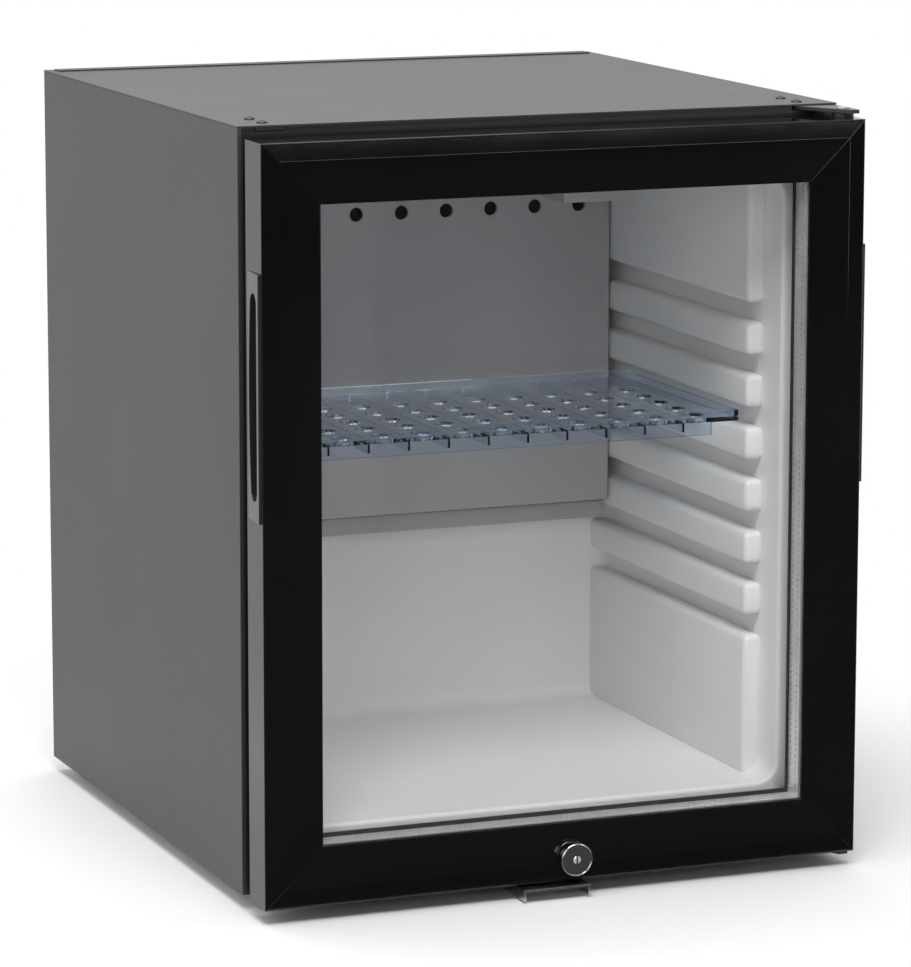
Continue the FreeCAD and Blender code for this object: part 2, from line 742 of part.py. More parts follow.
pocket(members["bottom"], "XY", [cam_slot("door_bottom + frame_wall")], "door_bottom - overrun",
       "door_bottom + frame_wall + fit_gap")

# Double glazing: two panes on a spacer frame, sealed round the edge
sealed_inset = "glass_inset + edge_seal_width"
spacer_inset = sealed_inset + " + spacer_width"


def door_ring(inset):
    """The door's outline drawn in by an inset on all four edges."""
    return rectangle(EDGES["left"][0](inset), EDGES["right"][0](inset),
                     EDGES["bottom"][0](inset), EDGES["top"][0](inset))


for label, outlines, low, high in (
        ("outer_pane", [door_ring("glass_inset")], "glass_front", "gap_front"),
        ("inner_pane", [door_ring("glass_inset")], "gap_rear", "glass_rear"),
        ("edge_seal", [door_ring("glass_inset"), door_ring(sealed_inset)], "gap_front", "gap_rear"),
        ("spacer_frame", [door_ring(sealed_inset), door_ring(spacer_inset)], "gap_front", "gap_rear")):
    body = new_body(label)
    pad(body, "XZ", outlines, low, high)
    keep(body, label)

bead = rectangle("rebate", "rebate + bead_width", "glass_rear", "door_rear")
group("glazing_beads",
      [mitred("glazing_bead_" + edge, edge, [bead], "rebate + bead_width") for edge in EDGES])

# Gasket: a folded black profile round the rear of the door, with a magnet strip in its head
gasket_end = "gasket_inset + gasket_width"
seal_face = "cabinet_front - running_gap"
head = seal_face + " - gasket_head"
fold_middle = f"(door_rear + gasket_base + {head}) / 2"
gasket_profile = [
    ("gasket_inset", "door_rear"), (gasket_end, "door_rear"), (gasket_end, "door_rear + gasket_base"),
    (gasket_end + " - gasket_fold", fold_middle), (gasket_end, head), (gasket_end, seal_face),
    ("gasket_inset", seal_face), ("gasket_inset", head), ("gasket_inset + gasket_fold", fold_middle),
    ("gasket_inset", "door_rear + gasket_base"),
]
magnet_inset = "gasket_inset + (gasket_width - magnet_width) / 2"
magnet_rear = seal_face + " - magnet_cover"


def magnet_outline(room):
    return rectangle(f"{magnet_inset} - {room}", f"{magnet_inset} + magnet_width + {room}",
                     f"{magnet_rear} - magnet_gauge - {room}", f"{magnet_rear} + {room}")


lengths = [mitred("gasket_" + edge, edge, [gasket_profile, magnet_outline("fit_gap")],
                  gasket_end) for edge in EDGES]
gasket = doc.addObject("Part::MultiFuse", "door_gasket")
gasket.Shapes = lengths
keep(gasket, "door_gasket")
group("gasket_magnets", [mitred("gasket_magnet_" + edge, edge, [magnet_outline("0")], gasket_end)
                         for edge in EDGES])


# Finger grips: moulded cups let into the outer wall of both stiles. The plate stands proud at its front
# and runs out flush at its rear.

def finger_grip(label, edge):
    inward = EDGES[edge][0]
    cutout = rectangle("door_front + grip_front", "grip_rear", "grip_foot", "grip_head")
    side = {"left": ("-half_door - overrun", inward("frame_wall + fit_gap")),
            "right": (inward("frame_wall + fit_gap"), "half_door + overrun")}[edge]
    pocket(members[edge], "YZ", [cutout], *side)

    def between(outer, inner):
        """Low and high across the door, from two insets of this edge."""
        return (inward(outer), inward(inner)) if edge == "left" else (inward(inner), inward(outer))

    body = new_body(label + "_block")
    plate_front = "door_front + grip_front + fit_gap"
    plate_rear = "grip_rear - fit_gap"
    plate = [(inward("-grip_proud"), plate_front), (inward("frame_wall"), plate_front),
             (inward("frame_wall"), plate_rear), (inward("0"), plate_rear)]
    pad(body, "XY", [plate], "grip_foot + fit_gap", "grip_head - fit_gap")
    cup = rectangle("door_front + frame_wall + crease_drop + fit_gap", "door_rear - frame_wall - fit_gap",
                    "grip_foot + cup_margin", "grip_head - cup_margin")
    pad(body, "YZ", [cup], *between("frame_wall", "grip_depth"))

    slot_rear = "door_rear - slot_rear_margin"
    bow = "(pow(slot_length; 2) / 4 + pow(slot_width; 2)) / (2 * slot_width)"
    low, high = between("-grip_proud - overrun", "slot_depth")
    wheel = doc.addObject("Part::Cylinder", label + "_bow")
    bind(wheel, "Radius", bow)
    bind(wheel, "Height", f"({high}) - ({low})")
    put(wheel, (low, f"{slot_rear} - {bow}", "(grip_foot + grip_head) / 2"), RIGHTWARD)
    chord = doc.addObject("Part::Box", label + "_chord")
    bind(chord, "Length", f"({high}) - ({low})")
    bind(chord, "Width", "slot_width + overrun")
    bind(chord, "Height", "grip_length")
    put(chord, (low, f"{slot_rear} - slot_width", "grip_foot"))
    lens = doc.addObject("Part::Common", label + "_slot")
    lens.Base = wheel
    lens.Tool = chord
    grip = doc.addObject("Part::Cut", label)
    grip.Base = body
    grip.Tool = lens
    keep(grip, label)


finger_grip("left_grip", "left")
finger_grip("right_grip", "right")

# Cam lock: a chromed housing with its nut, and a key plug that turns the cam
LOCK_SPOT = ("lock_offset", "door_front", "lock_z")
bore = "plug_radius + fit_gap"
housing = [(bore, "-lock_proud"), ("lock_head_radius - lock_edge", "-lock_proud"),
           ("lock_head_radius", "lock_edge - lock_proud"), ("lock_head_radius", "0"),
           ("lock_barrel_radius", "0"), ("lock_barrel_radius", "lock_barrel_length"),
           (bore, "lock_barrel_length")]
keep(turned("lock_housing", housing, LOCK_SPOT, REARWARD), "lock_housing")
nut = new_body("lock_nut")
nut_corners = [(f"lock_offset + nut_radius * cos({60 * turn})", f"lock_z + nut_radius * sin({60 * turn})")
               for turn in range(6)]
nut_front = "door_front + frame_wall + crease_drop"
pad(nut, "XZ", [nut_corners, circle("lock_offset", "lock_z", "lock_barrel_radius + fit_gap")],
    nut_front, nut_front + " + nut_gauge")
keep(nut, "lock_nut")
stub_end = "lock_barrel_length + cam_gap + cam_gauge"
plug_outline = [("0", "-lock_proud"), ("plug_radius", "-lock_proud"),
                ("plug_radius", "lock_barrel_length + cam_gap"),
                ("plug_stub_radius", "lock_barrel_length + cam_gap"), ("plug_stub_radius", stub_end),
                ("0", stub_end)]
plug = turned("lock_plug", plug_outline, LOCK_SPOT, REARWARD)
key_slot = rectangle("-key_slot_width / 2", "key_slot_width / 2", "-key_slot_length / 2",
                     "key_slot_length / 2")
pocket(plug, "XY", [key_slot], "-lock_proud - overrun", "key_slot_depth - lock_proud")
keep(plug, "lock_plug")
cam = new_body("lock_cam")
tongue = rectangle("lock_offset - cam_length", "lock_offset", "lock_z - cam_width / 2",
                   "lock_z + cam_width / 2")
pad(cam, "XZ", [tongue], "cam_front", "cam_rear")
pad(cam, "XZ", [circle("lock_offset", "lock_z", "cam_hub_radius")], "cam_front", "cam_rear")
pocket(cam, "XZ", [circle("lock_offset", "lock_z", "plug_stub_radius + fit_gap")],
       "cam_front - overrun", "cam_rear + overrun")
keep(cam, "lock_cam")
cam_screw = [("0", stub_end), ("cam_screw_radius", stub_end),
             ("cam_screw_radius", stub_end + " + cam_screw_height"), ("0", stub_end + " + cam_screw_height")]
keep(turned("cam_screw", cam_screw, LOCK_SPOT, REARWARD), "cam_screw")

# Finned evaporator on the rear wall, its cover with a row of vent holes, the gutter and the drain
evaporator = new_body("evaporator")
fin_root = "cavity_rear - evaporator_plate"
fin_tip = fin_root + " - fin_depth"
comb = [("evaporator_width / 2", "cavity_rear"), ("-evaporator_width / 2", "cavity_rear")]
for fin in range(EVAPORATOR_FINS):
    side = f"-evaporator_width / 2 + {fin} * (evaporator_width - fin_gauge) / {EVAPORATOR_FINS - 1}"
    start = [] if fin == 0 else [(side, fin_root)]
    finish = [] if fin == EVAPORATOR_FINS - 1 else [(side + " + fin_gauge", fin_root)]
    comb += start + [(side, fin_tip), (side + " + fin_gauge", fin_tip)] + finish
pad(evaporator, "XY", [comb], "evaporator_foot", "evaporator_foot + evaporator_height")
keep(evaporator, "evaporator")

cover = new_body("evaporator_cover")
pad(cover, "XZ", [rectangle("-cover_half", "cover_half", "cover_foot", "cover_head")], "cover_front",
    "cavity_rear")
hollow = rectangle("-cover_half + cover_wall", "cover_half - cover_wall",
                   "cover_foot - overrun", "cover_head - cover_wall")
pocket(cover, "XZ", [hollow], "cover_front + cover_wall", "cavity_rear + overrun")
side_vents = count("cover_half - cover_wall - cover_hole_radius", "cover_hole_pitch")
vents = [circle(f"{hole} * cover_hole_pitch", "cover_head - cover_hole_drop", "cover_hole_radius")
         for hole in range(-side_vents, side_vents + 1)]
pocket(cover, "XZ", vents, "cover_front - overrun", "cover_front + cover_wall + fit_gap")
keep(cover, "evaporator_cover")

gutter = new_body("drip_gutter")
lip = "cavity_rear - gutter_depth"
trough = [(lip, "gutter_top"), (lip, "gutter_foot"), ("cavity_rear", "gutter_foot"),
          ("cavity_rear", "gutter_top"),
          ("cavity_rear - gutter_wall", "gutter_top"),
          ("cavity_rear - gutter_wall", "gutter_foot + gutter_wall"),
          (lip + " + gutter_wall", "gutter_foot + gutter_wall"), (lip + " + gutter_wall", "gutter_top")]
pad(gutter, "YZ", [trough], "-cover_half", "cover_half")
pocket(gutter, "XZ", [circle("0", "drain_z", "drain_bore")],
       "cavity_rear - gutter_wall - fit_gap", "cavity_rear + overrun")
keep(gutter, "drip_gutter")

drain = new_body("drain_tube")
pad(drain, "XZ", [circle("0", "drain_z", "drain_radius"), circle("0", "drain_z", "drain_bore")],
    "cavity_rear", "bay_front + drain_outlet")
keep(drain, "drain_tube")

# Lamp on the ceiling: a base, a strip of diodes on a board and a frosted cover
lamp_left = "lamp_offset - lamp_width / 2"
lamp_right = "lamp_offset + lamp_width / 2"
lamp_rear = "lamp_front + lamp_depth"
lamp_outline = rectangle(lamp_left, lamp_right, "lamp_front", lamp_rear)
lamp_inside = rectangle(lamp_left + " + lamp_cover_wall", lamp_right + " - lamp_cover_wall",
                        "lamp_front + lamp_cover_wall", lamp_rear + " - lamp_cover_wall")
board = rectangle(lamp_left + " + led_margin", lamp_right + " - led_margin",
                  "lamp_front + led_margin", lamp_rear + " - led_margin")
lamp_base = new_body("lamp_base")
pad(lamp_base, "XY", [lamp_outline], "lamp_base_foot", "cavity_top")
keep(lamp_base, "lamp_base")
led_board = new_body("led_board")
pad(led_board, "XY", [board], "lamp_base_foot - led_gauge", "lamp_base_foot")
keep(led_board, "led_board")
diffuser = new_body("lamp_diffuser")
pad(diffuser, "XY", [lamp_outline], "lamp_foot", "lamp_base_foot")
pocket(diffuser, "XY", [lamp_inside], "lamp_foot + lamp_cover_wall", "lamp_base_foot + overrun")
keep(diffuser, "lamp_diffuser")

# Clear moulded shelf: a plate with a rim, a front lip, ribs underneath and rows of air holes
shelf = new_body("shelf")
shelf_top = "shelf_foot + shelf_plate"
shelf_outline = rectangle("-shelf_half", "shelf_half", "shelf_front", "shelf_rear")
side_columns = count("shelf_half - shelf_lip_margin - shelf_rim_gauge", "shelf_rib_pitch")
hole_rows = count("shelf_rear - shelf_front - 2 * shelf_hole_setback", "shelf_rib_pitch")
air_holes = [circle(f"{column} * shelf_rib_pitch",
                    f"shelf_front + shelf_hole_setback + {row} * shelf_rib_pitch", "shelf_hole_radius")
             for column in range(-side_columns, side_columns + 1) for row in range(hole_rows)]
pad(shelf, "XY", [shelf_outline] + air_holes, "shelf_foot", shelf_top)
inside_rim = rectangle("-shelf_half + shelf_rim_gauge", "shelf_half - shelf_rim_gauge",
                       "shelf_front + shelf_rim_gauge", "shelf_rear - shelf_rim_gauge")
pad(shelf, "XY", [shelf_outline, inside_rim], "shelf_foot", "shelf_foot + shelf_rim_height")
front_lip = rectangle("-shelf_lip_half", "shelf_lip_half", "shelf_front", "shelf_front + shelf_rim_gauge")
pad(shelf, "XY", [front_lip], "shelf_foot - shelf_lip_depth", shelf_top)
for rib in range(-side_columns, side_columns):
    middle = f"({rib} + 1 / 2) * shelf_rib_pitch"
    blade = rectangle(middle + " - shelf_rib_gauge / 2", middle + " + shelf_rib_gauge / 2",
                      "shelf_front", "shelf_rear")
    pad(shelf, "XY", [blade], "shelf_foot - shelf_rib_depth", "shelf_foot + shelf_plate / 2")
keep(shelf, "shelf")


# Cooling unit: boiler, condenser, heat exchanger, absorber vessel and coil, welded into one loop

def bent_tube(label, corners, bend, radius):
    """A tube in the plane of the unit: straight runs joined by arcs that touch them."""
    points = [FreeCAD.Vector(number(x), number("unit_y"), number(z)) for x, z in corners]
    edges = []
    start = points[0]
    for before, corner, after in zip(points, points[1:], points[2:]):
        entry = corner + (before - corner).normalize() * number(bend)
        leave = corner + (after - corner).normalize() * number(bend)
        centre = entry + leave - corner
        crown = centre + (corner - centre).normalize() * number(bend)
        edges += [Part.LineSegment(start, entry).toShape(), Part.Arc(entry, crown, leave).toShape()]
        start = leave
    edges.append(Part.LineSegment(start, points[-1]).toShape())
    ring = Part.Wire(Part.makeCircle(number(radius), points[0], points[1] - points[0]))
    tube = doc.addObject("Part::Feature", label)
    tube.Shape = Part.Wire(edges).makePipeShell([ring], True, False)
    tube.Placement = FreeCAD.Placement()
    return keep(tube, label)


def upright(radius, low, high):
    """Outline of a plain round bar standing from low to high."""
    return [("0", low), (radius, low), (radius, high), ("0", high)]


jacket = new_body("boiler_jacket")
boiler_core = circle("-boiler_offset", "unit_y", "boiler_radius + fit_gap")
pad(jacket, "XY", [circle("-boiler_offset", "unit_y", "jacket_radius"), boiler_core],
    "jacket_foot", "jacket_top")
heater_foot = "cabinet_bottom + heater_foot_height"
heater_top = heater_foot + " + heater_length"
pocket(jacket, "XY", [circle("-boiler_offset", "unit_y + heater_offset", "heater_radius + fit_gap")],
       "jacket_foot - overrun", heater_top + " + fit_gap")
keep(jacket, "boiler_jacket")
keep(turned("boiler_tube", upright("boiler_radius", "boiler_foot", "boiler_top"),
            ("-boiler_offset", "unit_y", "0")), "boiler_tube")
keep(turned("heater_cartridge", upright("heater_radius", heater_foot, heater_top),
            ("-boiler_offset", "unit_y + heater_offset", "0")), "heater_cartridge")

bent_tube("condenser_tube", [("-boiler_offset", "boiler_top"), ("-boiler_offset", "condenser_z"),
                             ("exchanger_offset", "condenser_z"), ("exchanger_offset", "exchanger_top")],
          "condenser_bend", "tube_radius")
fins = []
for fin in range(count("boiler_offset + exchanger_offset - 2 * condenser_fin_inset", "condenser_fin_pitch")):
    plate = new_body("condenser_fin")
    middle = "unit_y"
    square = rectangle(middle + " - condenser_fin_size / 2", middle + " + condenser_fin_size / 2",
                       "condenser_z - condenser_fin_size / 2", "condenser_z + condenser_fin_size / 2")
    fin_x = f"condenser_fin_inset - boiler_offset + {fin} * condenser_fin_pitch"
    pad(plate, "YZ", [square, circle(middle, "condenser_z", "tube_radius + fit_gap")],
        fin_x, fin_x + " + condenser_fin_gauge")
    fins.append(plate)
group("condenser_fins", fins)

exchanger = turned("heat_exchanger", upright("exchanger_radius", "exchanger_foot", "exchanger_top"),
                   ("exchanger_offset", "unit_y", "0"))
pocket(exchanger, "XZ", [circle("0", "evaporator_tube_z", "evaporator_tube_radius + fit_gap")],
       "-exchanger_radius - overrun", "-evaporator_tube_inset + fit_gap")
keep(exchanger, "heat_exchanger")
evaporator_tube = new_body("evaporator_tube")
pad(evaporator_tube, "XZ", [circle("exchanger_offset", "evaporator_tube_z", "evaporator_tube_radius")],
    "cavity_rear", "unit_y - evaporator_tube_inset")
keep(evaporator_tube, "evaporator_tube")

vessel_length = "vessel_left + vessel_right"
keep(turned("absorber_vessel", upright("vessel_radius", "0", vessel_length),
            ("-vessel_left", "unit_y", "vessel_z"), RIGHTWARD), "absorber_vessel")
coil = [("vessel_right", "vessel_z"), ("coil_right", "vessel_z")]
runs = count("exchanger_foot - coil_foot - coil_neck_length", "coil_pitch") + 1
for run in range(runs):
    height = f"coil_foot + {run} * coil_pitch"
    ends = ["coil_right", "-coil_left"]
    begin, finish = ends if run % 2 == 0 else reversed(ends)
    coil += [(begin, height), (finish if run < runs - 1 else "exchanger_offset", height)]
coil.append(("exchanger_offset", "exchanger_foot"))
bent_tube("absorber_coil", coil, "tube_bend", "tube_radius")
bent_tube("liquid_line", [("-vessel_left", "vessel_z"), ("-boiler_offset", "vessel_z"),
                          ("-boiler_offset", "boiler_foot")], "liquid_bend", "liquid_radius")

clamps = []
for label, clamp_x, clamp_z, radius in (
        ("boiler_clamp", "-boiler_offset", "(jacket_foot + jacket_top) / 2", "jacket_radius"),
        ("vessel_clamp", "(vessel_right - vessel_left) / 2", "vessel_z", "vessel_radius")):
    clamp = new_body(label)
    strap = rectangle(clamp_x + " - clamp_width / 2", clamp_x + " + clamp_width / 2",
                      clamp_z + " - clamp_height / 2", clamp_z + " + clamp_height / 2")
    pad(clamp, "XZ", [strap], "bay_front", f"unit_y - {radius} - clamp_gap")
    clamps.append(clamp)
group("unit_brackets", clamps)

# Control box at the foot of the bay, with the inlet for the mains lead
control = new_body("control_box")
case = rectangle("control_right - control_width", "control_right", "control_foot",
                 "control_foot + control_height")
pad(control, "XZ", [case], "bay_front", "bay_front + control_depth")
keep(control, "control_box")
inlet = new_body("mains_inlet")
inlet_x = "control_right - control_width / 2"
inlet_z = "control_foot + control_height / 2"
pad(inlet, "XZ", [circle(inlet_x, inlet_z, "inlet_radius"), circle(inlet_x, inlet_z, "inlet_bore")],
    "bay_front + control_depth", "bay_front + control_depth + inlet_length")
keep(inlet, "mains_inlet")

# Every object has to be sound before anything is written
doc.recompute()
faults = [item.Label for item in doc.Objects if {"Invalid", "Error"} & set(item.State)]
faults += [piece.Label for piece in pieces if piece.Shape.isNull() or not piece.Shape.isValid()]
if faults:
    raise RuntimeError("not built: " + ", ".join(faults))
os.makedirs("parts", exist_ok=True)
for piece in pieces:
    piece.Shape.exportStep(f"parts/{piece.Label}.step")
print(len(pieces), "pieces")
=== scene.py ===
import math

import bmesh
import bpy
from mathutils import Matrix, Vector


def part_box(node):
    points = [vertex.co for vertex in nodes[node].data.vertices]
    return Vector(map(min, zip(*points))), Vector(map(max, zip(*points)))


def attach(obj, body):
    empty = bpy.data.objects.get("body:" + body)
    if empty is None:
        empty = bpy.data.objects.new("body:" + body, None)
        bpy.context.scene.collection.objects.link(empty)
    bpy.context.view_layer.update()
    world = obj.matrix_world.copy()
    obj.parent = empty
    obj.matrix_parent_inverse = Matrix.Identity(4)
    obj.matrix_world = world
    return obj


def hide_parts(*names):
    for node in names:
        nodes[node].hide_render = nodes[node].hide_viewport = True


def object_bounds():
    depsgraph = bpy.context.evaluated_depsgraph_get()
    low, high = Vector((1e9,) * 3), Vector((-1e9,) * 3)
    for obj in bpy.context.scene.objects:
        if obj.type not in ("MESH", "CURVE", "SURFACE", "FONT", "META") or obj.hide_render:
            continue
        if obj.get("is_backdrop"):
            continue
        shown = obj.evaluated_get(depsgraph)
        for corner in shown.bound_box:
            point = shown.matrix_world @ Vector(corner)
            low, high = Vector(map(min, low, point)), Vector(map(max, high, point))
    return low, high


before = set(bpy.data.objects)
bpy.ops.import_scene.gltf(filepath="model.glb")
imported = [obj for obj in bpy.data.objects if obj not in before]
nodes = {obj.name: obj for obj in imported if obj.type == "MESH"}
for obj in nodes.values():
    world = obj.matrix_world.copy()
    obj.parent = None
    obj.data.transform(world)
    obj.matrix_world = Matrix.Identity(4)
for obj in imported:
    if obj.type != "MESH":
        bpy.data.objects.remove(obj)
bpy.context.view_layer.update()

# Cabinet shell
# Folded sheet steel sides and top, sprayed with a black paint that dries to a fine leather grain.
# The sheet is bent over a small radius, so every fold and cut edge is slightly round.


def finish(name, dark, light, patch, rough, grain, depth, cells=False, stretch=(1, 1, 1), **sockets):
    """A surface with cloudy colour and gloss, and a fine grain of a given size and depth in metres."""
    material = bpy.data.materials.new(name)
    material.use_nodes = True
    tree = material.node_tree
    shader = tree.nodes["Principled BSDF"]
    place = tree.nodes.new("ShaderNodeTexCoord")
    mapping = tree.nodes.new("ShaderNodeMapping")
    mapping.inputs["Scale"].default_value = stretch
    tree.links.new(place.outputs["Object"], mapping.inputs["Vector"])
    clouds = tree.nodes.new("ShaderNodeTexNoise")
    clouds.inputs["Scale"].default_value = 1 / patch
    clouds.inputs["Detail"].default_value = 5
    colour = tree.nodes.new("ShaderNodeMix")
    colour.data_type = "RGBA"
    colour.inputs["A"].default_value = (*dark, 1)
    colour.inputs["B"].default_value = (*light, 1)
    polish = tree.nodes.new("ShaderNodeMapRange")
    polish.inputs["To Min"].default_value = rough[0]
    polish.inputs["To Max"].default_value = rough[1]
    if cells:
        texture = tree.nodes.new("ShaderNodeTexVoronoi")
        texture.feature = "SMOOTH_F1"
        height = texture.outputs["Distance"]
    else:
        texture = tree.nodes.new("ShaderNodeTexNoise")
        texture.inputs["Detail"].default_value = 3
        height = texture.outputs["Fac"]
    texture.inputs["Scale"].default_value = 1 / grain
    bump = tree.nodes.new("ShaderNodeBump")
    bump.inputs["Distance"].default_value = depth
    for source in (clouds, texture):
        tree.links.new(mapping.outputs["Vector"], source.inputs["Vector"])
    tree.links.new(clouds.outputs["Fac"], colour.inputs["Factor"])
    tree.links.new(clouds.outputs["Fac"], polish.inputs["Value"])
    tree.links.new(colour.outputs["Result"], shader.inputs["Base Color"])
    tree.links.new(polish.outputs["Result"], shader.inputs["Roughness"])
    tree.links.new(height, bump.inputs["Height"])
    tree.links.new(bump.outputs["Normal"], shader.inputs["Normal"])
    for socket, value in sockets.items():
        shader.inputs[socket.replace("_", " ")].default_value = value
    return material


def coat(material, *names):
    """Give CAD nodes their finish."""
    for name in names:
        for slot in nodes[name].material_slots:
            slot.material = material


def round_edges(piece, width, segments=3, angle=35):
    """Round the edges of a piece that are sharper than an angle in degrees."""
    bevel = piece.modifiers.new("edges", "BEVEL")
    bevel.width = width
    bevel.segments = segments
    bevel.angle_limit = math.radians(angle)


def soften(width, *names):
    """Round the sharp edges of CAD nodes, as moulding, folding or cutting leaves them."""
    for name in names:
        piece = nodes[name]
        weld = piece.modifiers.new("weld", "WELD")
        weld.merge_threshold = 1e-5
        flat = piece.modifiers.new("flat", "DECIMATE")
        flat.decimate_type = "DISSOLVE"
        flat.angle_limit = math.radians(1)
        round_edges(piece, width)
        piece.modifiers.new("shading", "WEIGHTED_NORMAL")


leather_paint = finish("leather_grain_paint", (0.023, 0.023, 0.024), (0.032, 0.032, 0.033),
                       patch=0.09, rough=(0.42, 0.5), grain=0.0015, depth=0.00016, cells=True,
                       Specular_IOR_Level=0.5)
coat(leather_paint, "left_side_panel", "right_side_panel", "top_panel")
soften(0.0007, "left_side_panel", "right_side_panel")
soften(0.0004, "top_panel")

# Base pan and rear panel
# Plain zinc-coated sheet steel that closes the shell where nobody looks.
# The zinc keeps the cloudy crystal pattern of hot dipping.
zinc_sheet = finish("zinc_sheet", (0.36, 0.37, 0.38), (0.56, 0.57, 0.58),
                    patch=0.012, rough=(0.34, 0.5), grain=0.004, depth=0.00002, Metallic=0.9)
coat(zinc_sheet, "base_pan", "rear_panel")
soften(0.0003, "base_pan", "rear_panel")

# Feet
# Four short black rubber feet, moulded with a tapered tip.
# Each is pressed into a corner of the base pan and carries the cabinet.
foot_rubber = finish("foot_rubber", (0.02, 0.02, 0.021), (0.03, 0.03, 0.03),
                     patch=0.008, rough=(0.7, 0.85), grain=0.0006, depth=0.00004)
coat(foot_rubber, "foot_front_left", "foot_front_right", "foot_rear_left", "foot_rear_right")

# Front frame and foam
# The frame is a black moulded ring that closes the foam at the front and takes the gasket.
# The foam is poured into the closed shell, sets there and is never seen.
moulded_black = finish("moulded_black", (0.006, 0.006, 0.0065), (0.01, 0.01, 0.0105),
                       patch=0.02, rough=(0.32, 0.42), grain=0.0007, depth=0.00002,
                       Specular_IOR_Level=0.35)
coat(moulded_black, "front_frame")
soften(0.0006, "front_frame")
poured_foam = finish("poured_foam", (0.75, 0.66, 0.38), (0.86, 0.78, 0.5),
                     patch=0.02, rough=(0.85, 0.95), grain=0.0015, depth=0.0003, cells=True)
coat(poured_foam, "insulation_foam")

# Inner liner and drain
# One vacuum-formed tub of white polystyrene with a flange round its mouth. Forming leaves soft radii in
# every corner and on the ribs that carry the shelf, and a satin gloss with a slight unevenness.


def mesh_piece(name, verts, faces, material, sharp=30):
    """A mesh object with smooth shading except over edges sharper than an angle in degrees."""
    mesh = bpy.data.meshes.new(name)
    mesh.from_pydata(verts, [], faces)
    work = bmesh.new()
    work.from_mesh(mesh)
    bmesh.ops.remove_doubles(work, verts=work.verts, dist=1e-7)
    bmesh.ops.recalc_face_normals(work, faces=work.faces)
    work.to_mesh(mesh)
    work.free()
    for face in mesh.polygons:
        face.use_smooth = True
    mesh.set_sharp_from_angle(angle=math.radians(sharp))
    mesh.materials.append(material)
    piece = bpy.data.objects.new(name, mesh)
    bpy.context.collection.objects.link(piece)
    return piece


def rounded_ring(left, right, bottom, top, radius, depth, steps=6):
    """Points round an upright rectangle with rounded corners, at one depth."""
    points = []
    for x, z, start in ((right, top, 0), (left, top, 90), (left, bottom, 180), (right, bottom, 270)):
        for step in range(steps + 1):
            angle = math.radians(start + 90 * step / steps)
            centre_x = x - math.copysign(radius, x)
            centre_z = z - radius if z == top else z + radius
            points.append((centre_x + radius * math.cos(angle), depth, centre_z + radius * math.sin(angle)))
    return points


def gather(shapes):
    """Vertices and faces of several closed shapes, as one list of each."""
    verts = []
    faces = []
    for shape_verts, shape_faces in shapes:
        start = len(verts)
        verts += shape_verts
        faces += [tuple(start + index for index in face) for face in shape_faces]
    return verts, faces


def rounded_block(low, high, radius):
    """Vertices and faces of a block with every edge rounded."""
    work = bmesh.new()
    bmesh.ops.create_cube(work, size=1)
    for vert in work.verts:
        vert.co = Vector((a if side < 0 else b) for side, a, b in zip(vert.co, low, high))
    bmesh.ops.bevel(work, geom=work.edges[:], offset=radius, segments=4, profile=0.5, affect="EDGES")
    work.verts.index_update()
    verts = [tuple(vert.co) for vert in work.verts]
    faces = [[vert.index for vert in face.verts] for face in work.faces]
    work.free()
    return verts, faces


liner_white = finish("liner_white", (0.78, 0.78, 0.775), (0.82, 0.82, 0.815),
                     patch=0.05, rough=(0.32, 0.42), grain=0.03, depth=0.00004)
low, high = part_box("inner_liner")
flange = 0.008
flange_lip = 0.0025
flange_corner = 0.001
flange_ease = 0.0005
face_corner = 0.0008
wall = 0.003
rear_wall = 0.109
tub_corner = 0.014
mouth_round = 0.0028
rear_wall_round = 0.012
inside_x = high.x - flange
floor_z, ceiling_z = low.z + flange, high.z - flange
mouth = low.y


def tub_ring(outward, depth, corner=None):
    """One ring of the tub at a depth, moved outwards from its inside."""
    radius = tub_corner + outward if corner is None else corner
    return rounded_ring(-inside_x - outward, inside_x + outward, floor_z - outward, ceiling_z + outward,
                        radius, depth)


bend = [math.radians(a) for a in (0, 18, 36, 54, 72, 90)]
rings = [tub_ring(wall, rear_wall + wall), tub_ring(wall, mouth + flange_lip),
         tub_ring(flange, mouth + flange_lip, flange_corner),
         tub_ring(flange, mouth + flange_ease, flange_corner),
         tub_ring(flange - flange_ease, mouth, face_corner)]
rings += [tub_ring(mouth_round * (1 - math.sin(a)), mouth + mouth_round * (1 - math.cos(a))) for a in bend]
rings += [tub_ring(-rear_wall_round * (1 - math.cos(a)), rear_wall - rear_wall_round * (1 - math.sin(a)))
          for a in bend]
around = len(rings[0])
verts = [point for ring in rings for point in ring]
faces = [tuple(range(around)), tuple(range((len(rings) - 1) * around, len(rings) * around))]
for ring in range(len(rings) - 1):
    for i in range(around):
        j = (i + 1) % around
        faces.append((ring * around + i, ring * around + j, (ring + 1) * around + j, (ring + 1) * around + i))

rib_stand = 0.012
rib_front = -0.154
rib_rear = 0.100
rib_round = 0.0042
groove_top = 0.375
groove_pitch = 0.0356
groove_height = 0.0137
grooves = 7
rib_bed = wall * 0.6
rib_tail = 0.01
overrun = 0.02
rib_edges = [ceiling_z + overrun]
for k in range(grooves):
    rib_edges += [groove_top - groove_pitch * k, groove_top - groove_pitch * k - groove_height]
rib_edges.append(floor_z - overrun)
shapes = [(verts, faces)]
for upper, lower in zip(rib_edges[::2], rib_edges[1::2]):
    for side in (-1, 1):
        wall_side = side * (inside_x + rib_bed)
        inner_side = side * (inside_x - rib_stand)
        corner_low = Vector((min(wall_side, inner_side), rib_front, max(lower, floor_z - rib_bed)))
        corner_high = Vector((max(wall_side, inner_side), rib_rear + rib_tail,
                              min(upper, ceiling_z + rib_bed)))
        shapes.append(rounded_block(corner_low, corner_high, rib_round))
tub = mesh_piece("formed_liner", *gather(shapes), liner_white, sharp=40)
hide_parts("inner_liner")
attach(tub, "cabinet")
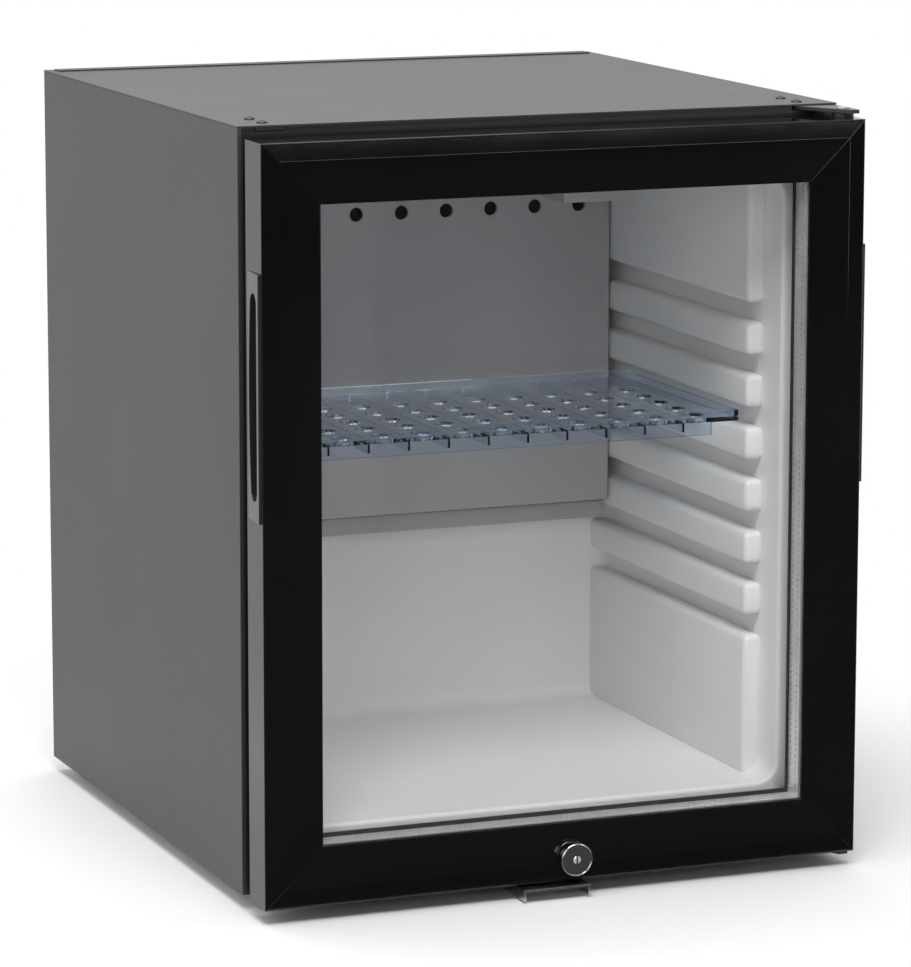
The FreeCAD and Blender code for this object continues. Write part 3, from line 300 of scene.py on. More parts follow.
coat(liner_white, "drain_tube")

# Evaporator, its cover and the gutter
# The cover is a grey moulded tray fixed to the rear wall, with vent holes along the top. Behind it is a
# ribbed aluminium extrusion, and a moulded gutter under it leads the thaw water to the drain.
cover_grey = finish("cover_grey", (0.38, 0.38, 0.382), (0.42, 0.42, 0.422),
                    patch=0.05, rough=(0.4, 0.5), grain=0.0008, depth=0.00002, Specular_IOR_Level=0.3)
# The gutter takes the cover's grey, darker than the liner, as painted shade under the cover's edge.
coat(cover_grey, "evaporator_cover", "drip_gutter")
soften(0.0012, "evaporator_cover")
soften(0.0005, "drip_gutter")
drawn_aluminium = finish("drawn_aluminium", (0.6, 0.61, 0.62), (0.72, 0.73, 0.74),
                         patch=0.01, rough=(0.28, 0.4), grain=0.0008, depth=0.00001, stretch=(1, 1, 0.05),
                         Metallic=1.0)
coat(drawn_aluminium, "evaporator")
soften(0.0004, "evaporator")

# Painted shade behind the vents
# A thin black strip lies inside the cover, behind its row of holes, as painted shade that keeps the holes
# dark.
# It lies slightly wavy.
low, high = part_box("evaporator_cover")
painted_shade_black = finish("painted_shade_black", (0.006, 0.006, 0.006), (0.012, 0.012, 0.012),
                      patch=0.004, rough=(0.9, 0.95), grain=0.0008, depth=0.0002)
columns = 40
shade_sheet_depths = (0.0035, 0.0055)
shade_sheet_rows = (0.402, 0.432)
shade_sheet_margin = 0.008
wave = 0.0006
wave_step = 1.7
verts = []
for face_depth in shade_sheet_depths:
    for row in shade_sheet_rows:
        verts += [(low.x + shade_sheet_margin + (high.x - low.x - 2 * shade_sheet_margin) * i / columns,
                   low.y + face_depth + wave * math.sin(i * wave_step), row) for i in range(columns + 1)]
line = columns + 1
faces = []
for a, b in ((0, line), (line, 3 * line), (3 * line, 2 * line), (2 * line, 0)):
    faces += [(a + i, a + i + 1, b + i + 1, b + i) for i in range(columns)]
faces += [(0, line, 3 * line, 2 * line), (columns, line + columns, 3 * line + columns, 2 * line + columns)]
shade_sheet = mesh_piece("vent_shade_sheet", verts, faces, painted_shade_black)
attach(shade_sheet, "cabinet")

# Interior lamp
# A frosted clip-on cover of moulded plastic over a small board of diodes.
# The board sits on a white base under the ceiling of the liner.
frosted_cover = finish("frosted_cover", (0.22, 0.22, 0.22), (0.27, 0.27, 0.27),
                       patch=0.01, rough=(0.45, 0.6), grain=0.0005, depth=0.00003,
                       Emission_Color=(1, 0.98, 0.94, 1), Emission_Strength=0.02)
coat(frosted_cover, "lamp_diffuser")
soften(0.0012, "lamp_diffuser")
board_green = finish("board_green", (0.03, 0.12, 0.06), (0.04, 0.16, 0.08),
                     patch=0.004, rough=(0.3, 0.45), grain=0.0008, depth=0.00002)
coat(board_green, "led_board")
coat(liner_white, "lamp_base")
soften(0.0005, "lamp_base")

# Shelf
# Injection-moulded clear polystyrene with a faint blue tint: a plate with a rim, a front lip,
# stiffening ribs and air holes. It lies loose in the grooves of the liner, and being clear it throws
# next to no shadow.
clear_shelf = finish("clear_shelf", (0.72, 0.82, 0.95), (0.8, 0.88, 0.98),
                     patch=0.03, rough=(0.02, 0.05), grain=0.012, depth=0.00003, Transmission_Weight=1.0,
                     IOR=1.45)
nodes["shelf"].visible_shadow = False
coat(clear_shelf, "shelf")
soften(0.0006, "shelf")

# Door frame
# Four lengths of hollow black extrusion, sawn at 45 degrees and welded at the corners.
# The face has a soft outer edge, a soft ridge, and a gentle slope down to the glass.
low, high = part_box("door_rail_top")
door_left, door_right = low.x, high.x
door_top = high.z
door_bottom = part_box("door_rail_bottom")[0].z
door_rear = high.y
door_front = low.y
frame_face = high.z - low.z
rebate = 0.0285
lip = 0.0035
edge_drop = 0.0029
edge_round = 0.0014
crease = 0.012
crease_drop = 0.0015
sight_drop = 0.0012
sight_round = 0.0009
ridge_round = 0.003
edge_share = 0.85
rear_edge_round = 0.0006
mitre_gap = 0.00005
sawn_edge = 0.00025


def arc(centre, radii, start, end, steps):
    """Points along an ellipse, from one angle to another in degrees."""
    angles = [math.radians(start + (end - start) * step / steps) for step in range(steps + 1)]
    return [(centre[0] + radii[0] * math.cos(a), centre[1] + radii[1] * math.sin(a)) for a in angles]


thickness = door_rear - door_front
profile = [(rear_edge_round, thickness), (0, thickness - rear_edge_round)]
profile += arc((edge_round, edge_drop), (edge_round, edge_drop - crease_drop * edge_share), 212, 270, 6)
profile += arc((crease, ridge_round), (ridge_round, ridge_round), 262, 272.5, 4)
profile += arc((frame_face - sight_round, sight_drop + sight_round), (sight_round, sight_round), 270, 360, 5)
profile += [(frame_face, lip), (rebate, lip), (rebate, thickness - rear_edge_round),
            (rebate - rear_edge_round, thickness)]


def door_corner(edge, inset, near_start):
    """Place of a point on a member's mitre: inset from its own edge, at the start or end of the member."""
    along = inset + mitre_gap
    if edge in ("top", "bottom"):
        x = door_left + along if near_start else door_right - along
        z = door_top - inset if edge == "top" else door_bottom + inset
    else:
        z = door_bottom + along if near_start else door_top - along
        x = door_left + inset if edge == "left" else door_right - inset
    return x, z


def prism_faces(count):
    """Faces of a prism with so many corners at each end, one end listed after the other."""
    sides = [(i, (i + 1) % count, count + (i + 1) % count, count + i) for i in range(count)]
    return sides + [tuple(range(count)), tuple(range(count, 2 * count))]


def frame_member(name, edge, material):
    """One length of the extrusion, sawn to its mitres."""
    verts = []
    for near_start in (True, False):
        for inset, depth in profile:
            x, z = door_corner(edge, inset, near_start)
            verts.append((x, door_front + depth, z))
    return mesh_piece(name, verts, prism_faces(len(profile)), material)


def block(low, high):
    """A plain box, used only to cut with."""
    work = bmesh.new()
    bmesh.ops.create_cube(work, size=1)
    for vert in work.verts:
        vert.co = Vector((a if side < 0 else b) for side, a, b in zip(vert.co, low, high))
    mesh = bpy.data.meshes.new("cutter")
    work.to_mesh(mesh)
    work.free()
    cutter = bpy.data.objects.new("cutter", mesh)
    bpy.context.collection.objects.link(cutter)
    return cutter


def carve(piece, *cutters):
    """Cut shapes out of a piece for good, and drop the cutters."""
    for cutter in cutters:
        cut = piece.modifiers.new("cut", "BOOLEAN")
        cut.operation = "DIFFERENCE"
        cut.solver = "EXACT"
        cut.object = cutter
    bpy.context.view_layer.update()
    done = bpy.data.meshes.new_from_object(piece.evaluated_get(bpy.context.evaluated_depsgraph_get()))
    piece.modifiers.clear()
    piece.data = done
    done.set_sharp_from_angle(angle=math.radians(30))
    for cutter in cutters:
        bpy.data.objects.remove(cutter)


frame_gloss = finish("frame_gloss", (0.0022, 0.0022, 0.0023), (0.0035, 0.0035, 0.0037),
                     patch=0.07, rough=(0.05, 0.09), grain=0.035, depth=0.0001, Specular_IOR_Level=0.45)
members = {}
for edge, name in (("top", "door_rail_top"), ("bottom", "door_rail_bottom"),
                   ("left", "door_stile_left"), ("right", "door_stile_right")):
    members[edge] = frame_member("frame_" + name, edge, frame_gloss)
    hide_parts(name)

cut_room = 0.0001
for edge, grip in (("left", "left_grip"), ("right", "right_grip")):
    low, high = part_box(grip)
    room = Vector((cut_room, cut_room, cut_room))
    carve(members[edge], block(low - room, high + room))
cam_low, cam_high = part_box("lock_cam")
lock_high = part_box("lock_housing")[1]
rail_floor = 0.0025
swing_room = 0.004
chamber_room = 0.003
chamber_spare = 0.002
cam_slot_inset = 0.001
cam_slot_room = 0.0012
cut_below = 0.005
cut_above = 0.004
chamber_low = Vector((cam_low.x - swing_room, cam_low.y - chamber_room, door_bottom + rail_floor))
chamber_high = Vector((lock_high.x + chamber_spare, cam_high.y + chamber_room, cam_high.z + chamber_spare))
slot_low = Vector((cam_low.x + cam_slot_inset, cam_low.y - cam_slot_room, door_bottom - cut_below))
slot_high = Vector((cam_high.x - cam_slot_inset, cam_high.y + cam_slot_room, door_bottom + cut_above))
carve(members["bottom"], block(chamber_low, chamber_high), block(slot_low, slot_high))
for member in members.values():
    round_edges(member, sawn_edge, segments=2, angle=50)
    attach(member, "door")

# Glass
# Two clear float panes, cut to size with ground edges, make one sealed double glazing.
# The beads hold it in the door from behind.


def clear_glass():
    """Clear float glass: bare reflection that grows towards grazing angles, and no tint."""
    material = bpy.data.materials.new("clear_glass")
    material.use_nodes = True
    tree = material.node_tree
    shader = tree.nodes["Principled BSDF"]
    shader.inputs["Metallic"].default_value = 1
    place = tree.nodes.new("ShaderNodeTexCoord")
    clouds = tree.nodes.new("ShaderNodeTexNoise")
    clouds.inputs["Scale"].default_value = 9
    colour = tree.nodes.new("ShaderNodeMix")
    colour.data_type = "RGBA"
    colour.inputs["A"].default_value = (0.84, 0.85, 0.85, 1)
    colour.inputs["B"].default_value = (0.9, 0.91, 0.91, 1)
    polish = tree.nodes.new("ShaderNodeMapRange")
    polish.inputs["To Min"].default_value = 0.005
    polish.inputs["To Max"].default_value = 0.03
    facing = tree.nodes.new("ShaderNodeLayerWeight")
    steep = tree.nodes.new("ShaderNodeMath")
    steep.operation = "POWER"
    steep.inputs[1].default_value = 5
    edge = tree.nodes.new("ShaderNodeMapRange")
    edge.inputs["To Min"].default_value = 0.008
    tree.links.new(facing.outputs["Facing"], steep.inputs[0])
    tree.links.new(steep.outputs["Value"], edge.inputs["Value"])
    tree.links.new(place.outputs["Object"], clouds.inputs["Vector"])
    tree.links.new(clouds.outputs["Fac"], colour.inputs["Factor"])
    tree.links.new(clouds.outputs["Fac"], polish.inputs["Value"])
    tree.links.new(colour.outputs["Result"], shader.inputs["Base Color"])
    tree.links.new(polish.outputs["Result"], shader.inputs["Roughness"])
    tree.links.new(edge.outputs["Result"], shader.inputs["Alpha"])
    return material


coat(clear_glass(), "outer_pane", "inner_pane")

# Spacer
# A channel rolled from thin aluminium, with two rows of round vents towards the glazing's inside.
# Four mitred lengths make the frame that keeps the panes apart.
spacer_metal = finish("spacer_metal", (0.62, 0.62, 0.62), (0.85, 0.85, 0.85),
                      patch=0.014, rough=(0.25, 0.4), grain=0.004, depth=0.00004, Metallic=0.6)
spacer_low, spacer_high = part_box("spacer_frame")
spacer_width = 0.0076
spacer_gap = 0.00003
vent_pitch = 0.004
vent_radius = 0.0009
vent_room = 0.0012
vent_depth = 0.004
vent_inset = 0.0045
vent_rows = (spacer_low.y + vent_inset, spacer_high.y - vent_inset)


def spacer_bar(corner, along, inward, length):
    """Vertices and faces of one mitred bar of the spacer, with two rows of round vents in its inner face."""
    verts = []
    faces = []

    def spot(distance, inset, depth):
        """Add one point and give back its number."""
        verts.append(tuple(corner + along * distance + inward * inset + Vector((0, depth, 0))))
        return len(verts) - 1

    first, last = spacer_width + spacer_gap, length - spacer_width - spacer_gap
    vents = int((last - first) / vent_pitch)
    margin = (last - first - vents * vent_pitch) / 2
    stations = [first]
    for k in range(vents):
        centre = first + margin + (k + 0.5) * vent_pitch
        stations += [centre - vent_room, centre + vent_room]
    stations.append(last)
    depths = [spacer_low.y]
    for row in vent_rows:
        depths += [row - vent_room, row + vent_room]
    depths.append(spacer_high.y)
    grid = [[spot(station, spacer_width, depth) for depth in depths] for station in stations]
    for i in range(len(stations) - 1):
        for j in range(len(depths) - 1):
            square = (grid[i][j], grid[i + 1][j], grid[i + 1][j + 1], grid[i][j + 1])
            if i % 2 == 0 or j % 2 == 0:
                faces.append(square)
                continue
            middle, level = (stations[i] + stations[i + 1]) / 2, (depths[j] + depths[j + 1]) / 2
            angles = [math.radians(22.5 + 45 * k) for k in range(8)]
            rim, floor = [[spot(middle + vent_radius * math.cos(a), inset, level + vent_radius * math.sin(a))
                           for a in angles] for inset in (spacer_width, spacer_width - vent_depth)]
            for k, (a, b) in enumerate(((2, 3), (3, 0), (0, 1), (1, 2))):
                faces.append((square[a], rim[2 * k + 1], rim[2 * k]))
                faces.append((square[a], square[b], rim[(2 * k + 2) % 8], rim[2 * k + 1]))
            faces += [(rim[k], rim[(k + 1) % 8], floor[(k + 1) % 8], floor[k]) for k in range(8)]
            faces.append(tuple(floor))
    near = [spot(spacer_gap, 0, depth) for depth in (depths[0], depths[-1])]
    far = [spot(length - spacer_gap, 0, depth) for depth in (depths[0], depths[-1])]
    for side, row in ((0, 0), (1, len(depths) - 1)):
        faces.append((near[side], far[side], *[column[row] for column in reversed(grid)]))
    faces += [(near[0], far[0], far[1], near[1]), (near[0], near[1], *reversed(grid[0])),
              (far[0], far[1], *reversed(grid[-1]))]
    return verts, faces


across, rising = Vector((1, 0, 0)), Vector((0, 0, 1))
size = spacer_high - spacer_low
bars = [spacer_bar(Vector((spacer_low.x, 0, spacer_low.z)), across, rising, size.x),
        spacer_bar(Vector((spacer_high.x, 0, spacer_low.z)), rising, -across, size.z),
        spacer_bar(Vector((spacer_high.x, 0, spacer_high.z)), -across, -rising, size.x),
        spacer_bar(Vector((spacer_low.x, 0, spacer_high.z)), -rising, across, size.z)]
spacer = mesh_piece("vented_spacer", *gather(bars), spacer_metal)
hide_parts("spacer_frame")
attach(spacer, "door")

# Sealant, butyl lines and beads
# Black sealant is run in outside the spacer, and a line of butyl squeezes out along its rear edge.
# The beads are thin moulded strips snapped in behind the glass.
sealant = finish("sealant", (0.008, 0.008, 0.008), (0.014, 0.014, 0.014),
                 patch=0.01, rough=(0.4, 0.6), grain=0.002, depth=0.00005)
coat(sealant, "edge_seal")
coat(moulded_black, "glazing_beads")
line_width = 0.0016
line_bed = 0.0005
line_stand = 0.0015
foot_stand = 0.0027
pane_gap = 0.00005
verts = []
for depth in (spacer_high.y - line_width - pane_gap, spacer_high.y - pane_gap):
    for inset, foot in ((-line_bed, -line_bed), (line_stand, foot_stand)):
        inset += spacer_width
        foot += spacer_width
        verts += [(spacer_low.x + inset, depth, spacer_low.z + foot),
                  (spacer_high.x - inset, depth, spacer_low.z + foot),
                  (spacer_high.x - inset, depth, spacer_high.z - inset),
                  (spacer_low.x + inset, depth, spacer_high.z - inset)]
faces = []
for ring, other in ((0, 4), (4, 12), (12, 8), (8, 0)):
    faces += [(ring + i, ring + (i + 1) % 4, other + (i + 1) % 4, other + i) for i in range(4)]
butyl = mesh_piece("butyl_lines", verts, faces, sealant)
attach(butyl, "door")

# Gasket and its magnets
# A soft black extrusion with a folded bellows, welded at the corners and pushed into the door.
# A strip of bonded magnet lies in its head.
gasket_black = finish("gasket_black", (0.012, 0.012, 0.013), (0.02, 0.02, 0.021),
                      patch=0.02, rough=(0.45, 0.6), grain=0.001, depth=0.00003)
coat(gasket_black, "door_gasket", "gasket_magnets")
soften(0.0007, "door_gasket")

# Finger grips
# Moulded cups clipped into the outer walls of both stiles. The plate stands proud at its front and runs
# out flush at its rear, and a long rounded slot in it, bowed at the rear, takes the fingertips.
grip_black = finish("grip_black", (0.014, 0.014, 0.015), (0.02, 0.02, 0.021),
                    patch=0.02, rough=(0.2, 0.3), grain=0.0009, depth=0.00002, Specular_IOR_Level=0.4)
slot_front = 0.0047
slot_width = 0.0172
slot_end_width = 0.0138
slot_inset = 0.013
slot_depth = 0.013
bow_steps = 16
grip_edge = 0.0004
cut_overrun = 0.002


def finger_slot(low, high, side):
    """A prism in the shape of the slot, used only to cut with."""
    middle = (low.z + high.z) / 2
    half = (high.z - low.z) / 2 - slot_inset
    end_round = slot_end_width / 2
    ring = []
    for height, turn in ((half, 0), (-half, 180)):
        centre = (slot_front + end_round, height - math.copysign(end_round, height))
        ring += arc(centre, (end_round, end_round), turn, turn + 180, 12)
    straight = half - end_round
    for step in range(1, bow_steps):
        height = -straight + straight * 2 * step / bow_steps
        swell = (slot_width - slot_end_width) * (1 - (height / straight) ** 2)
        ring.append((slot_front + slot_end_width + swell, height))
    outside = high.x + cut_overrun if side > 0 else low.x - cut_overrun
    floor = high.x - slot_depth if side > 0 else low.x + slot_depth
    verts = [(x, low.y + y, middle + z) for x in (outside, floor) for y, z in ring]
    return mesh_piece("cutter", verts, prism_faces(len(ring)), grip_black)


for name, side in (("left_grip", -1), ("right_grip", 1)):
    low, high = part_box(name)
    proud, inner, flush = (high.x, low.x, door_right) if side > 0 else (low.x, high.x, door_left)
    plate = [(proud, low.y), (inner, low.y), (inner, high.y), (flush, high.y)]
    verts = [(x, y, z) for z in (low.z, high.z) for x, y in plate]
    grip = mesh_piece("finger_" + name, verts, prism_faces(len(plate)), grip_black)
    carve(grip, finger_slot(low, high, side))
    round_edges(grip, grip_edge)
    grip.modifiers.new("shading", "WEIGHTED_NORMAL")
    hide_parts(name)
    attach(grip, "door")

# Hinges
# Stamped steel plates painted black, with turned steel pins riveted in.
# The pins run in plastic bushes pressed into the door.
plate_paint = finish("plate_paint", (0.007, 0.007, 0.0075), (0.012, 0.012, 0.0125),
                     patch=0.01, rough=(0.28, 0.4), grain=0.001, depth=0.00003)
coat(plate_paint, "top_hinge_bracket", "bottom_hinge_bracket", "blanking_plate")
soften(0.0005, "top_hinge_bracket", "bottom_hinge_bracket", "blanking_plate")
turned_steel = finish("turned_steel", (0.42, 0.42, 0.43), (0.55, 0.55, 0.56),
                      patch=0.006, rough=(0.25, 0.38), grain=0.0004, depth=0.00001, Metallic=1.0)
coat(turned_steel, "hinge_pins")
coat(moulded_black, "hinge_bushes")

# Screws
# Cross-head pan screws, blackened on top and zinc plated underneath. Each is lathe turned
# and the cross is punched into its head.
screw_head_radius = 0.0036
screw_head_height = 0.0016
screw_shank_radius = 0.002
head_wall_share = 0.35


def lathe(points, sides=48):
    """Vertices and faces of a closed round form, from its outline of radius and height."""
    verts = []
    faces = []
    rings = []
    for radius, height in points:
        if radius == 0:
            rings.append([len(verts)])
            verts.append((0, 0, height))
        else:
            rings.append(list(range(len(verts), len(verts) + sides)))
            verts += [(radius * math.cos(2 * math.pi * s / sides),
                       radius * math.sin(2 * math.pi * s / sides), height)
                      for s in range(sides)]
    for lower, upper in zip(rings, rings[1:]):
        for s in range(sides):
            corners = [lower[s % len(lower)], lower[(s + 1) % len(lower)],
                       upper[(s + 1) % len(upper)], upper[s % len(upper)]]
            faces.append(tuple(dict.fromkeys(corners)))
    return verts, faces


def cross_head(radius, height, shank_radius, shank):
    """One screw with its seat at height zero, and the punched cross in its head."""
    outline = [(0, -shank), (shank_radius, -shank), (shank_radius, 0), (radius, 0),
               (radius, height * head_wall_share)]
    outline += [(radius * math.cos(a), height * (head_wall_share + (1 - head_wall_share) * math.sin(a)))
                for a in map(math.radians, (20, 40, 60, 75))]
    outline.append((0, height))
    screw = mesh_piece("screw", *lathe(outline, sides=32), turned_steel)
    arm = radius * 0.55
    width = radius * 0.16
    depth = height * 0.4
    carve(screw, block((-arm, -width, depth), (arm, width, height * 2)),
          block((-width, -arm, depth), (width, arm, height * 2)))
    return screw


def spots_of(node):
    """Centres of a set of screws that stands on a rectangle or a line."""
    low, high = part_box(node)
    places = []
    for first, last in ((low.x, high.x), (low.y, high.y)):
        ends = [first + screw_head_radius, last - screw_head_radius]
        places.append(ends if ends[1] - ends[0] > screw_head_radius else [sum(ends) / 2])
    return [(x, y) for x in places[0] for y in places[1]]


def screw_set(name, node, upward, material):
    """All screws of one set as one piece, each turned to its own angle."""
    low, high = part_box(node)
    shank = high.z - low.z - screw_head_height
    seat = high.z - screw_head_height if upward else low.z + screw_head_height
    single = cross_head(screw_head_radius, screw_head_height, screw_shank_radius, shank)
    together = bmesh.new()
    for index, (x, y) in enumerate(spots_of(node)):
        copy = single.data.copy()
        turn = Matrix.Rotation(math.radians(35 + 50 * index), 4, "Z")
        flip = Matrix() if upward else Matrix.Rotation(math.pi, 4, "X")
        copy.transform(Matrix.Translation((x, y, seat)) @ flip @ turn)
        together.from_mesh(copy)
        bpy.data.meshes.remove(copy)
    mesh = bpy.data.meshes.new(name)
    together.to_mesh(mesh)
    together.free()
    mesh.materials.append(material)
    mesh.set_sharp_from_angle(angle=math.radians(30))
    bpy.data.objects.remove(single)
    piece = bpy.data.objects.new(name, mesh)
    bpy.context.collection.objects.link(piece)
    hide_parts(node)
    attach(piece, "cabinet")


black_screw = finish("black_screw", (0.03, 0.03, 0.031), (0.05, 0.05, 0.052),
                     patch=0.004, rough=(0.25, 0.38), grain=0.0005, depth=0.00001, Metallic=0.6)
screw_set("top_cross_screws", "top_hinge_screws", upward=True, material=black_screw)
screw_set("lower_cross_screws", "bottom_hinge_screws", upward=False, material=turned_steel)
screw_set("strike_cross_screws", "strike_screws", upward=False, material=turned_steel)

# Strike
# A zinc-plated steel plate folded down at both sides and held by two screws.
# Its slot takes the lock's cam.
plated_steel = finish("plated_steel", (0.4, 0.4, 0.41), (0.52, 0.52, 0.53),
                      patch=0.01, rough=(0.16, 0.28), grain=0.0015, depth=0.00002, Metallic=1.0)
coat(plated_steel, "strike_bracket")
soften(0.0004, "strike_bracket")

# Cam lock
# Die-cast zinc, polished and chromed: a round head with a rolled rim, and a plug with a key slot.
# Behind the frame a nut holds the barrel, and the plug turns the cam.
low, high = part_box("lock_housing")
plug_low, plug_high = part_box("lock_plug")
lock_axis = Vector(((low.x + high.x) / 2, low.y, (low.z + high.z) / 2))
head_radius = (high.x - low.x) / 2
head_height = door_front - low.y
barrel_radius = 0.0085
barrel_length = high.y - door_front
plug_radius = (plug_high.x - plug_low.x) / 2
rim_round = 0.0008
rim_share = 1.3
dish = 0.0005
head_ease = 0.0005
head_flat = 0.0012
seat_gap = 0.0001
plug_clearance = 0.00005


def on_lock_axis(piece):
    """Turn a piece made along +Z so that it runs into the door from the lock's face."""
    piece.data.transform(Matrix.Translation(lock_axis) @ Matrix.Rotation(math.radians(-90), 4, "X"))


polished_chrome = finish("polished_chrome", (0.5, 0.5, 0.51), (0.62, 0.62, 0.63),
                         patch=0.006, rough=(0.06, 0.14), grain=0.002, depth=0.00001, Metallic=1.0)
bore = plug_radius + plug_clearance
barrel_end = head_height + barrel_length
housing_outline = [(bore, dish), (head_radius - rim_round * rim_share, dish)]
housing_outline += [(head_radius - rim_round + rim_round * math.sin(a), rim_round - rim_round * math.cos(a))
                    for a in map(math.radians, (0, 22, 45, 67, 90))]
housing_outline += [(head_radius, head_height - head_flat), (head_radius - head_ease, head_height - seat_gap),
                    (barrel_radius, head_height - seat_gap), (barrel_radius, barrel_end), (bore, barrel_end),
                    (bore, dish)]
housing = mesh_piece("lock_head", *lathe(housing_outline, sides=72), polished_chrome, sharp=40)
on_lock_axis(housing)
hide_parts("lock_housing")
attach(housing, "door")

plug_over = 0.0005
plug_length = plug_high.y - plug_low.y
tail_radius = 0.003
plug_outline = [(0, dish), (plug_radius, dish), (plug_radius, barrel_end + plug_over),
                (tail_radius, barrel_end + plug_over), (tail_radius, plug_length), (0, plug_length)]
plug = mesh_piece("key_plug", *lathe(plug_outline, sides=48), polished_chrome, sharp=40)
key_width = 0.0007
key_reach = 0.003
key_depth = 0.006
ward = 0.0011
ward_reach = key_reach * 0.3
carve(plug, block((-key_width, -key_reach, -cut_overrun), (key_width, key_reach, key_depth)),
      block((-ward, -ward_reach, -cut_overrun), (ward, ward_reach, key_depth)))
on_lock_axis(plug)
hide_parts("lock_plug")
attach(plug, "lock")

rosette_radius = 0.0026
rosette_ease = 0.0004
rosette_face = 0.0001
rosette_back = 0.0012
rosette_outline = [(0, rosette_face), (rosette_radius - rosette_ease, rosette_face),
                   (rosette_radius, rosette_face + rosette_ease), (rosette_radius, rosette_back),
                   (0, rosette_back)]
bright_nickel = finish("bright_nickel", (0.75, 0.75, 0.74), (0.85, 0.85, 0.84),
                       patch=0.003, rough=(0.35, 0.5), grain=0.0006, depth=0.00002, Metallic=0.7)
rosette = mesh_piece("key_rosette", *lathe(rosette_outline, sides=32), bright_nickel, sharp=40)
carve(rosette, block((-key_width, -key_reach, -cut_overrun), (key_width, key_reach, key_depth)))
on_lock_axis(rosette)
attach(rosette, "lock")
coat(plated_steel, "lock_nut", "lock_cam", "cam_screw")
soften(0.0003, "lock_nut", "lock_cam", "cam_screw")

# Cooling unit
# Welded steel tube, painted with a thin dark protective paint that shows the weld runs.
# The boiler sits in a jacket of rolled zinc sheet packed with mineral wool.
unit_paint = finish("unit_paint", (0.03, 0.036, 0.036), (0.05, 0.057, 0.057),
                    patch=0.02, rough=(0.35, 0.55), grain=0.0015, depth=0.00006)
coat(unit_paint, "boiler_tube", "condenser_tube", "heat_exchanger", "evaporator_tube", "absorber_vessel",
     "absorber_coil", "liquid_line")
rolled_zinc = finish("rolled_zinc", (0.4, 0.41, 0.42), (0.58, 0.59, 0.6),
                     patch=0.015, rough=(0.3, 0.45), grain=0.003, depth=0.00003, stretch=(1, 1, 0.2),
                     Metallic=0.95)
coat(rolled_zinc, "boiler_jacket")
coat(turned_steel, "heater_cartridge")
coat(drawn_aluminium, "condenser_fins")
soften(0.0002, "condenser_fins")
coat(zinc_sheet, "unit_brackets")
soften(0.001, "unit_brackets")


def weld_bead(centre, axis, radius, width):
    """Vertices and faces of a rippled ring of weld round a tube."""
    around, section = 48, 8
    turn = Vector((0, 0, 1)).rotation_difference(Vector(axis))
    verts = []
    for i in range(around):
        angle = 2 * math.pi * i / around
        swell = width / 2 * (1 + 0.16 * math.sin(angle * 17) + 0.08 * math.sin(angle * 5))
        for k in range(section):
            tilt = 2 * math.pi * k / section
            reach = radius + swell * math.cos(tilt)
            spot = Vector((reach * math.cos(angle), reach * math.sin(angle), swell * math.sin(tilt)))
            verts.append(tuple(Vector(centre) + turn @ spot))
    faces = []
    for i in range(around):
        for k in range(section):
            j, m = (i + 1) % around, (k + 1) % section
            faces.append((i * section + k, j * section + k, j * section + m, i * section + m))
    return verts, faces


def joined(name, shapes, material):
    """One cabinet piece made of several closed shapes."""
    piece = mesh_piece(name, *gather(shapes), material, sharp=40)
    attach(piece, "cabinet")


def middle_of(node):
    """Centre of a CAD node's box."""
    low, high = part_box(node)
    return (low + high) / 2


exchanger_low, exchanger_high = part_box("heat_exchanger")
vessel_low, vessel_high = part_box("absorber_vessel")
boiler_low, boiler_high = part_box("boiler_tube")
exchanger = middle_of("heat_exchanger")
vessel = middle_of("absorber_vessel")
boiler = middle_of("boiler_tube")
vessel_radius = (vessel_high.z - vessel_low.z) / 2
tube_radius = 0.008
line_radius = 0.006
wide_bead = 0.003
thin_bead = 0.0026
seam_bead = 0.0028
seam_sink = 0.0007
cap_depth = 0.006
beads = [weld_bead((exchanger.x, exchanger.y, end), (0, 0, 1), tube_radius, wide_bead)
         for end in (exchanger_low.z, exchanger_high.z)]
beads += [weld_bead((end, vessel.y, vessel.z), (1, 0, 0), vessel_radius - seam_sink, seam_bead)
          for end in (vessel_low.x + cap_depth, vessel_high.x - cap_depth)]
beads += [weld_bead((vessel_high.x, vessel.y, vessel.z), (1, 0, 0), tube_radius, wide_bead),
          weld_bead((vessel_low.x, vessel.y, vessel.z), (1, 0, 0), line_radius, thin_bead),
          weld_bead((boiler.x, boiler.y, boiler_high.z), (0, 0, 1), tube_radius, wide_bead),
          weld_bead((boiler.x, boiler.y, boiler_low.z), (0, 0, 1), line_radius, thin_bead)]
joined("weld_beads", beads, unit_paint)

# Jacket ends, straps and seam
# Pressed caps close the jacket, and two straps hold it round the boiler.
# Its sheet meets in a folded seam at the rear.
jacket_low, jacket_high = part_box("boiler_jacket")
jacket = middle_of("boiler_jacket")
jacket_radius = (jacket_high.x - jacket_low.x) / 2
cap_bore = 0.0112
cap_stand = 0.0006
cap_skirt = 0.005
strap_bed = 0.001
strap_stand = 0.0009
strap_half = 0.005
strap_inset = 0.06
seam_half = 0.004
seam_bed = 0.0012
seam_stand = 0.0007
seam_round = 0.0004


def jacket_ring(inner, outer, bottom, top):
    """A flat ring round the jacket's axis with rounded outer edges."""
    ease = 0.0005
    outline = [(inner, bottom), (outer - ease, bottom), (outer, bottom + ease), (outer, top - ease),
               (outer - ease, top), (inner, top), (inner, bottom)]
    ring_verts, ring_faces = lathe(outline, sides=64)
    return [(x + jacket.x, y + jacket.y, z) for x, y, z in ring_verts], ring_faces


